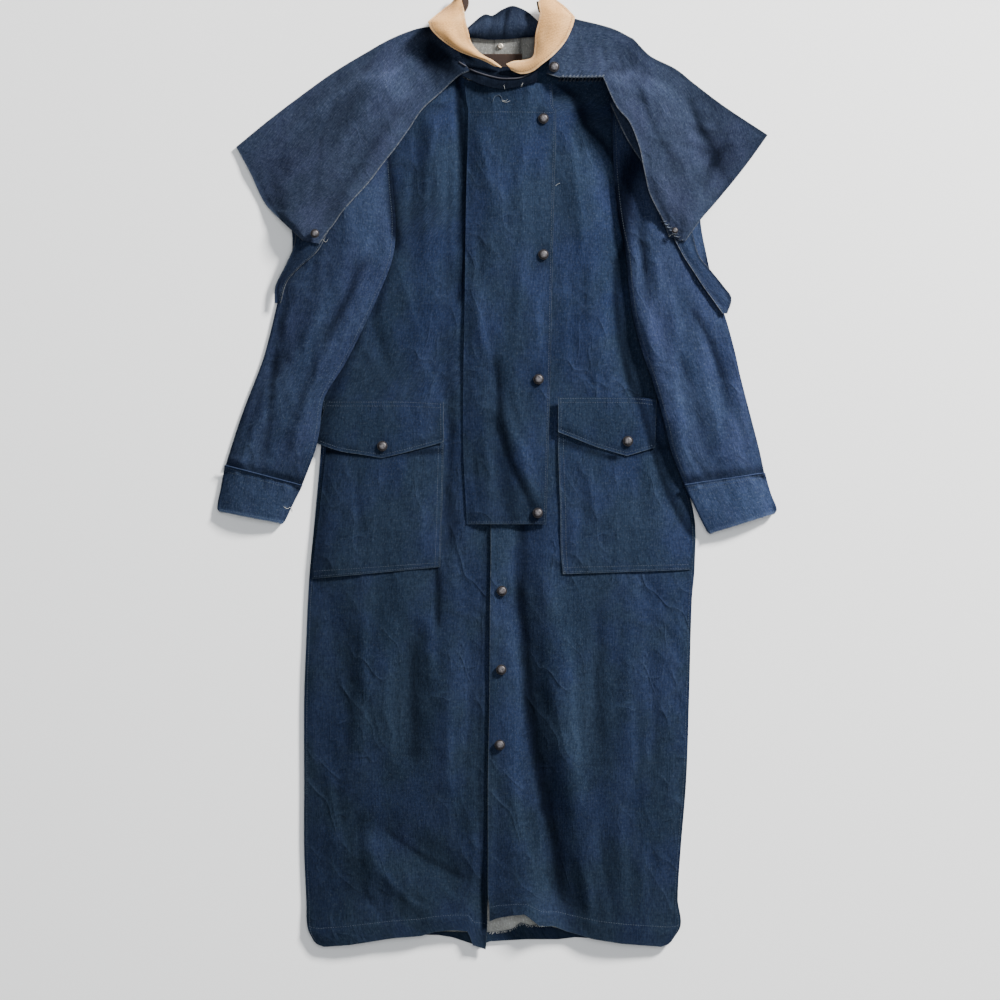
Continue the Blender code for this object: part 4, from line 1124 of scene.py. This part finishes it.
sleeveLeftSet = {
    **sleeveCut, "node": "sleeve_left", "on": ["frontLeftShell", "floor"], "worn": 0.60,
    "stitches": (("first", 5),), "lifts": ((190, 330, 215, 190, 16, 3.5), (215, 190, 262, 20, 16, 3.5)),
    # painted shadow where it meets the body and in the folds, and painted light along its inner edge
    "shadingAndWear": (
        (176, 350, 190, 430, 18, -0.75), (196, 360, 216, 250, 5, -0.3), (284, 222, 319, 140, 5, -0.3),
        (187, 262, 208, 166, 7, 0.35), (208, 166, 237, 73, 7, 0.35), (237, 73, 270, -20, 7, 0.35),
        (300, 300, 320, 250, 7, -0.3), (236, 356, 300, 262, 7, -0.5), (268, -14, 378, 4, 6, -0.25),
    ),
    "plan": (
        (164, 535, 195, 549), (164, 498, 235, 524), (165, 448, 268, 484), (168, 401, 285, 430),
        (174, 352, 291, 350), (183, 309, 299, 309), (187, 266, 309, 266), (195, 213, 325, 223),
        (208, 166, 339, 173), (220, 132, 348, 133), (237, 73, 364, 71), (248, 28, 375, 28),
        (268, -22, 382, -5),
    ),
    "creases": (
        (284, 222, 319, 140, 6, -2.4), (319, 140, 331, 82, 5, -2.2), (205, 359, 211, 277, 6, -2.2),
        (250, 170, 268, 40, 8, 1.8), (262, 155, 280, 110, 4, -1.8), (280, 100, 292, 60, 4, -1.6),
        (240, 260, 262, 180, 8, 1.8), (300, 120, 318, 30, 6, 1.6), (225, 300, 236, 230, 5, 1.6),
        (340, 90, 356, 10, 5, -1.5), (262, 60, 286, 0, 5, -1.4), *puckers((264, -12), (380, 4), 11, 10, 1.1),
    ),
}
cuffCut = {
    "material": sleeveDenim, "wall": 1.6, "on": ["floor"], "worn": 0.95, "spacing": 3.0,
    "hems": (("end", 3, 6),), "stitches": (("start", 3), ("start", 8), ("end", 4)),
}
cuffRightSet = {
    **cuffCut, "node": "cuff_right", "creases": puckers((-388, 3), (-280, -26), 9, 7, 0.9),
    "plan": (
        (-388, 9, -277, -20), (-394, -24, -291, -47), (-399, -52, -302, -70), (-396, -57, -306, -75),
    ),
}
cuffLeftSet = {
    **cuffCut, "node": "cuff_left", "creases": puckers((268, -26), (384, -8), 9, 7, 0.9),
    "plan": (
        (266, -19, 382, -2), (285, -58, 391, -32), (299, -85, 399, -54), (303, -89, 396, -60),
    ),
}
for sleeve in (sleeveRightSet, sleeveLeftSet, cuffRightSet, cuffLeftSet):
    layTube(sleeve)
print("sleeves laid")

# Arm straps and throat band
strapCut = {"material": sleeveDenim, "wall": 1.6, "spacing": 4.0, "hems": (("first", 2, 4), ("second", 2, 4))}
strapRightSet = {
    **strapCut, "node": "arm_strap_right", "on": ["sleeveRightShell"], "stitches": (("second", 3),),
    "plan": (
        (-285, 345, -237, 346), (-290, 318, -255, 313), (-303, 290, -281, 290), (-316, 263, -299, 270),
        (-317, 240, -308, 240),
    ),
}
strapLeftSet = {
    **strapCut, "node": "arm_strap_left", "on": ["sleeveLeftShell"], "stitches": (("first", 3),),
    "plan": (
        (244, 345, 276, 345), (264, 307, 287, 307), (278, 286, 304, 286), (294, 262, 324, 262),
        (308, 243, 334, 247), (321, 225, 328, 225),
    ),
}
throatSet = {
    "node": "throat_band", "material": greyedDenim, "wall": 1.6,
    "on": ["stormFlapShell"], "spacing": 3.0, "turned": True, "worn": 0.0, "rubbed": ("start",),
    "plan": (
        (-67, 606, -57, 565), (-46, 600, -41, 558), (-22, 590, -24, 550), (0, 577, -4, 544),
        (20, 575, 16, 543), (41, 578, 39, 548), (58, 583, 57, 553),
    ),
}
for strap in (strapRightSet, strapLeftSet, throatSet):
    layShell(strap)

# Cape
capeCut = {
    "material": greyedDenim, "slack": 0.9, "spacing": 3.0, "hems": (("first", 3, 6), ("second", 2.5, 7)),
    "stitches": (("first", 1.5),),
}
capeRightSet = {
    **capeCut, "node": "cape_right", "on": ["sleeveRightShell", "frontRightShell"], "soften": 4,
    "breaks": (8,), "crisp": 1.5, "worn": 0.76, "lifts": ((-240, 352, -266, 322, 16, -4.0),),
    # painted shadow under the collar, and painted shade in the creases
    "shadingAndWear": (
        (-96, 620, -84, 590, 17, -0.6), (-84, 590, -48, 562, 13, -0.6), (-190, 560, -240, 420, 16, -0.2),
        (-230, 500, -330, 440, 18, -0.12), (-150, 500, -230, 380, 12, -0.2),
    ),
    "plan": (
        (-39, 568, -76, 632), (-54, 561, -101, 634), (-80, 538, -123, 629), (-106, 514, -154, 616),
        (-124, 487, -184, 599), (-144, 458, -235, 568), (-163, 434, -281, 535), (-181, 410, -327, 500),
        (-200, 389, -372, 463), (-220, 367, -352, 426), (-232, 350, -332, 384), (-241, 339, -309, 359),
        (-252, 323, -276, 328),
    ),
    "creases": (
        (-150, 560, -250, 420, 8, 1.5), (-190, 560, -330, 440, 7, 1.3), (-130, 520, -225, 385, 5, -1.4),
        (-228, 530, -238, 497, 4, -1.5), (-238, 497, -256, 450, 4, -1.3), (-250, 470, -262, 374, 4, -1.2),
        (-290, 500, -318, 462, 4, -1.1), (-200, 470, -214, 430, 4, -1.0), (-180, 580, -200, 548, 4, -1.0),
        (-120, 590, -180, 540, 6, 1.3), (-270, 440, -310, 400, 6, 1.2), (-90, 600, -120, 560, 5, -1.3),
    ),
}
capeLeftSet = {
    **capeCut, "node": "cape_left", "on": ["sleeveLeftShell", "frontLeftShell"], "soften": 1,
    "breaks": (1, 3, 8), "finer": {1: 28, 2: 28}, "crisp": 2.4, "worn": 0.5,
    "lifts": ((150, 556, 200, 440, 20, 2.0), (218, 392, 258, 322, 17, -5.0)),
    # painted shade in its crease valleys
    "shadingAndWear": (
        (200, 604, 203, 530, 7, -0.22), (276, 528, 290, 490, 6, -0.22), (290, 490, 312, 446, 8, -0.28),
        (210, 521, 250, 434, 5, -0.16), (312, 446, 296, 420, 10, -0.2), (236, 470, 262, 436, 5, -0.12),
    ),
    "plan": (
        (70, 564, 92, 645), (88, 558, 112, 646), (118, 558, 165, 632), (150, 558, 194, 617),
        (158, 537, 218, 593), (170, 513, 255, 574), (187, 493, 279, 555), (201, 458, 324, 521),
        (207, 430, 386, 480), (215, 396, 355, 437), (225, 374, 318, 391), (235, 356, 289, 357),
        (244, 333, 267, 326),
    ),
    "creases": (
        (200, 604, 201, 545, 5, 1.5), (196, 547, 212, 516, 3.5, -1.4), (210, 521, 226, 482, 3, -1.2),
        (228, 480, 250, 434, 3, -1.2), (274, 528, 286, 500, 4, -1.4), (286, 498, 300, 478, 3.5, -1.3),
        (300, 476, 316, 450, 4, -1.6), (318, 452, 296, 428, 3.5, -1.2), (230, 560, 240, 500, 7, 1.0),
        (150, 610, 156, 580, 4, -1.2), (330, 490, 350, 440, 6, 1.0), (250, 470, 282, 400, 5, 1.2),
        (262, 505, 276, 470, 4, 1.1), (232, 430, 252, 392, 3.5, -0.9), (280, 440, 300, 410, 3.5, 1.0),
        (120, 612, 132, 578, 4, 0.9), (172, 596, 180, 566, 4, -1.0),
    ),
}
# Small gathers along the cape's top hem: where each starts, how far up, and its width and height
gathersSet = {"from": 88, "count": 10, "pitch": 6.1, "bottom": 556, "reach": (5, 13), "size": (1.9, 1.3)}
for step in range(gathersSet["count"]):
    at, foot = gathersSet["from"] + gathersSet["pitch"] * step, gathersSet["bottom"]
    over, rise = gathersSet["reach"]
    capeLeftSet["creases"] += ((at, foot, at + over, foot + rise, *gathersSet["size"]),)
turnBackSet = {
    "name": "capeTurnBack", "node": "cape_left", "extra": True, "material": greyedDenim,
    "on": ["sleeveLeftShell"], "wall": 1.0, "spacing": 3.0, "drop": -2.6, "soften": 1, "slack": 0.5,
    "worn": 0.45, "stitches": (("first", 1.2),), "hems": (("first", 1.5, None),),
    "plan": (
        (160, 520, 168, 526), (169, 500, 180, 505), (180, 477, 193, 482), (191, 458, 205, 463),
        (203, 440, 215, 444), (211, 423, 220, 426),
    ),
}
for panel in (capeRightSet, turnBackSet, capeLeftSet):
    layShell(panel)
print("cape laid")

# Collar falls, in tan corduroy
collarCut = {
    "slot": "corduroy", "material": corduroy, "wall": 2.4, "rounded": 0.8, "spacing": 3.0, "soften": 3,
    "slack": 0.6, "breaks": (3,), "hems": (("first", 2, None), ("second", 2, None)),
}
collarRightSet = {
    **collarCut, "node": "collar_right", "on": ["capeRightShell"], "stitches": (("first", 4.5),),
    # painted shade along its inner side near the roll
    "shadingAndWear": ((-50, 684, -47, 664, 4, -0.4), (-44, 640, -40, 612, 4, -0.12)),
    "lifts": ((-98, 637, -50, 593, 14, 2.6), (-92, 650, -86, 616, 15, 3.0)),
    "plan": (
        (-57, 681, -50, 681), (-63, 670, -50, 670), (-78, 657, -47, 657), (-98, 637, -44, 637),
        (-93, 625, -40, 621), (-78, 610, -36, 607), (-57, 596, -26, 595), (-37, 588, -16, 588),
        (-21, 583, -6, 583), (-3, 574, 7, 573),
    ),
    "creases": ((-60, 640, -48, 606, 5, -1.2), (-76, 632, -60, 604, 6, 1.2)),
}
collarLeftSet = {
    **collarCut, "node": "collar_left", "on": ["capeLeftShell"], "stitches": (("second", 4.5),),
    # painted shade along its inner side near the roll
    "shadingAndWear": ((58, 668, 58, 640, 4, -0.22), (53, 612, 50, 590, 6, -0.15)),
    "plan": (
        (66, 677, 76, 677), (59, 668, 86, 670), (59, 661, 98, 660), (61, 651, 111, 645), (58, 635, 107, 630),
        (54, 618, 97, 609), (53, 601, 80, 589), (50, 587, 64, 576), (39, 583, 50, 566), (23, 581, 34, 563),
        (13, 577, 20, 568),
    ),
    "creases": ((72, 640, 62, 600, 5, -1.2), (90, 640, 82, 606, 6, 1.2)),
}
# The back of each fall rolls under: a small piece of the dark brown label cloth, its colour painted shade on
# the roll
for side, rungs in (
    ("Right", ((-54, 681, -44, 680), (-53, 672, -40, 670), (-52, 664, -41, 661), (-52, 655, -45, 653))),
    ("Left", ((56, 668, 70, 669), (57, 660, 70, 660), (59, 652, 70, 651))),
):
    layShell({
        "name": "collarRoll" + side, "node": "collar_" + side.lower(), "extra": True, "slot": "corduroy",
        "material": labelCloth, "on": ["floor"], "wall": 1.6, "spacing": 2.0, "drop": -3.2, "slack": 0.3,
        "rounded": 0.5, "worn": 0.75, "plan": rungs,
    })
layShell(collarRightSet)
layShell(collarLeftSet)
print("collar laid")


# Piping and loose ends, each a thin round cord on whatever lies under it
def layCords(name, material, radius, rise, paths):
    tree = BVHTree.FromPolygons(laid["points"], laid["faces"])
    data = bpy.data.curves.new(name, "CURVE")
    data.dimensions = "3D"
    data.bevel_depth = radius * mm
    data.bevel_resolution = 2
    data.use_fill_caps = True
    for path in paths:
        corners = np.array(path, float)
        shares = np.linspace(0, 1, 6)[:-1]
        places = [hermite(corners, i, share, ()) for i in range(len(corners) - 1) for share in shares]
        places.append(corners[-1])
        spline = data.splines.new("POLY")
        spline.points.add(len(places) - 1)
        for point, (x, y) in zip(spline.points, places):
            hit = tree.ray_cast(Vector((x * mm, y * mm, 1.0)), down)[0]
            height = hit.z if hit else 0.0
            point.co = (x * mm, y * mm, height + (radius + rise) * mm, 1)
    choose(addObject(name, data))
    bpy.ops.object.convert(target="MESH")
    obj = bpy.context.object
    obj.data.materials.append(material)
    bpy.ops.object.shade_smooth()
    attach(obj, "root")


bandPath = ((-54, 581), (-48, 577), (-31, 568), (-14, 562), (4, 557.6), (18, 557), (34, 558.5), (48, 565))
layCords("throatPiping", pipingCloth, 1.1, -0.5, [bandPath])
layCords("looseThreads", looseThread, 0.22, 0.1, [
    ((-304, -50), (-299, -53), (-294, -51), (-291, -56)), ((83, 406), (87, 409), (90, 410)),
    ((7, 526), (13, 524), (19, 526)), ((8, 527), (12, 526), (15, 528)), ((10, 548), (11, 542)),
    ((34, 546), (37, 551)), ((-247, 329), (-243, 326), (-240, 330)), ((244, 333), (249, 336), (253, 333)),
])
# The cape's top hem has roped: its two layers have crept apart and twisted
ropeSet = {"from": 88, "to": 150, "pitch": 5.2}
ropes = [
    ((x, 555.6), (x + 1.8, 557.2), (x + 4.6, 559.2), (x + 6.4, 560.8))
    for x in np.arange(ropeSet["from"], ropeSet["to"], ropeSet["pitch"])
]
ropes += [
    ((x - 1.5, y + 1.0), (x + 1.5, y), (x + 4.2, y - 0.4), (x + 6.0, y + 1.4))
    for x, y in zip(np.linspace(234, 258, 7), np.linspace(354, 328, 7))
]
layCords("ropedHem", ropedCloth, 1.1, -0.6, ropes)
layCords("looseLoop", thread, 0.35, 0.1, [((-6, 525), (-3, 532), (3, 534), (7, 529), (5, 525))])
frayed = np.random.default_rng(11)
fringeSet = {"from": -9, "to": 70, "count": 44, "longest": 4.2}
fringe = []
for x in np.linspace(fringeSet["from"], fringeSet["to"], fringeSet["count"]):
    y = np.interp(x, *np.array(backHemSet["brim"], float).T) - 0.5
    lean, reach = frayed.uniform(-2.5, 2.5), frayed.uniform(1.5, fringeSet["longest"])
    fringe.append(((x, y + 1.2), (x + lean * 0.3, y - 0.4 * reach), (x + lean, y - reach * 0.8)))
layCords("frayedHem", looseThread, 0.28, 0.05, fringe)
print("trims laid")


# Snaps: a pressed cap with a rolled rim, spun from its profile
snapSet = {"steps": 40, "profile": (
    (0.0, 0.45), (0.25, 0.445), (0.50, 0.42), (0.68, 0.36), (0.77, 0.28), (0.81, 0.20), (0.85, 0.19),
    (0.90, 0.26), (0.96, 0.25), (1.0, 0.18), (1.0, 0.1), (0.97, 0.0), (0.0, 0.0),
)}
socketProfile = (
    (0.0, 0.12), (0.34, 0.12), (0.40, 0.2), (0.44, 0.46), (0.56, 0.56), (0.78, 0.5), (0.94, 0.3), (1.0, 0.0),
    (0.0, 0.0),
)


def spinSnap(node, profile, material):
    low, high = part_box(node)
    radius = (high.x - low.x) / 2
    centre = ((low.x + high.x) / 2, (low.y + high.y) / 2, low.z)
    mesh = bpy.data.meshes.new(node + "Cap")
    points = [(centre[0] + r * radius, centre[1], centre[2] + h * radius) for r, h in profile]
    mesh.from_pydata(points, [(i, i + 1) for i in range(len(points) - 1)], [])
    obj = addObject(node + "Cap", mesh)
    choose(obj)
    bpy.ops.object.mode_set(mode="EDIT")
    bpy.ops.mesh.select_all(action="SELECT")
    bpy.ops.mesh.spin(steps=snapSet["steps"], angle=2 * math.pi, center=centre, axis=(0, 0, 1))
    bpy.ops.mesh.select_all(action="SELECT")
    bpy.ops.mesh.remove_doubles(threshold=0.00002)
    bpy.ops.mesh.normals_make_consistent(inside=False)
    bpy.ops.object.mode_set(mode="OBJECT")
    bpy.ops.object.shade_smooth_by_angle(angle=math.radians(50))
    # Crown: 1 at the cap's centre easing to 0, the reach of the paled top and its painted highlight; -0.9 on
    # the rim, for its tarnish
    crown = obj.data.attributes.new("crown", "FLOAT", "POINT")
    for vertex, value in zip(obj.data.vertices, crown.data):
        aside = math.hypot(vertex.co.x - centre[0], vertex.co.y - centre[1]) / radius
        value.value = -0.9 if aside > 0.79 else max(0.0, 1 - aside * 1.5)
    obj.data.materials.append(material)
    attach(obj, "root")
    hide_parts(node)


for node in sorted(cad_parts):
    if node.startswith(("snap_", "stud_")):
        spinSnap(node, snapSet["profile"], agedCopper)
spinSnap("socket_neck", socketProfile, paleBrass)
print("snaps spun")

# Topstitching: one rounded stitch, copied along every seam line that shows
stitchSet = {"length": 2.6, "pitch": 3.5, "width": 0.62, "height": 0.42, "lift": 0.08, "steepest": 2.5}


def sewTopstitch():
    bpy.ops.mesh.primitive_uv_sphere_add(segments=6, ring_count=4, radius=0.5, location=(0, 0, 0))
    model = bpy.context.object
    shape = np.array([v.co for v in model.data.vertices])
    shape = shape * (stitchSet["length"], stitchSet["width"], stitchSet["height"])
    modelFaces = [tuple(p.vertices) for p in model.data.polygons]
    bpy.data.objects.remove(model)
    owner, points, faces = [], [], []
    for name in sorted({line[0] for line in stitchLines}):
        mesh = bpy.data.objects[name].data
        start = len(points)
        points += [v.co.copy() for v in mesh.vertices]
        faces += [tuple(start + i for i in p.vertices) for p in mesh.polygons]
        owner += [name] * len(mesh.polygons)
    tree = BVHTree.FromPolygons(points, faces)
    made, madeFaces = [], []
    for name, line in stitchLines:
        steps = np.linalg.norm(np.diff(line, axis=0), axis=1)
        travelled = np.concatenate([[0], np.cumsum(steps)])
        for at in np.arange(stitchSet["pitch"], travelled[-1] - stitchSet["pitch"], stitchSet["pitch"]):
            ends = []
            for place in (at - stitchSet["length"] / 2, at + stitchSet["length"] / 2):
                x, y = (np.interp(place, travelled, line[:, axis]) for axis in (0, 1))
                hit, _, face, _ = tree.ray_cast(Vector((x * mm, y * mm, 1.0)), down)
                if hit is None or owner[face] != name:
                    break
                ends.append(np.array([x, y, hit.z / mm]))
            if len(ends) < 2 or abs(ends[1][2] - ends[0][2]) > stitchSet["steepest"]:
                continue
            along = ends[1] - ends[0]
            along /= np.linalg.norm(along)
            side = np.cross((0, 0, 1.0), along)
            side /= np.linalg.norm(side)
            turned = shape @ np.stack([along, side, np.cross(along, side)])
            start = len(made)
            made += (turned + (ends[0] + ends[1]) / 2 + (0, 0, stitchSet["lift"])).tolist()
            madeFaces += [tuple(start + i for i in face) for face in modelFaces]
    mesh = bpy.data.meshes.new("topstitching")
    mesh.from_pydata((np.array(made) * mm).tolist(), [], madeFaces)
    mesh.shade_smooth()
    obj = addObject("topstitching", mesh)
    obj.data.materials.append(thread)
    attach(obj, "root")
    print("sewn", len(madeFaces) // len(modelFaces), "stitches")


sewTopstitch()
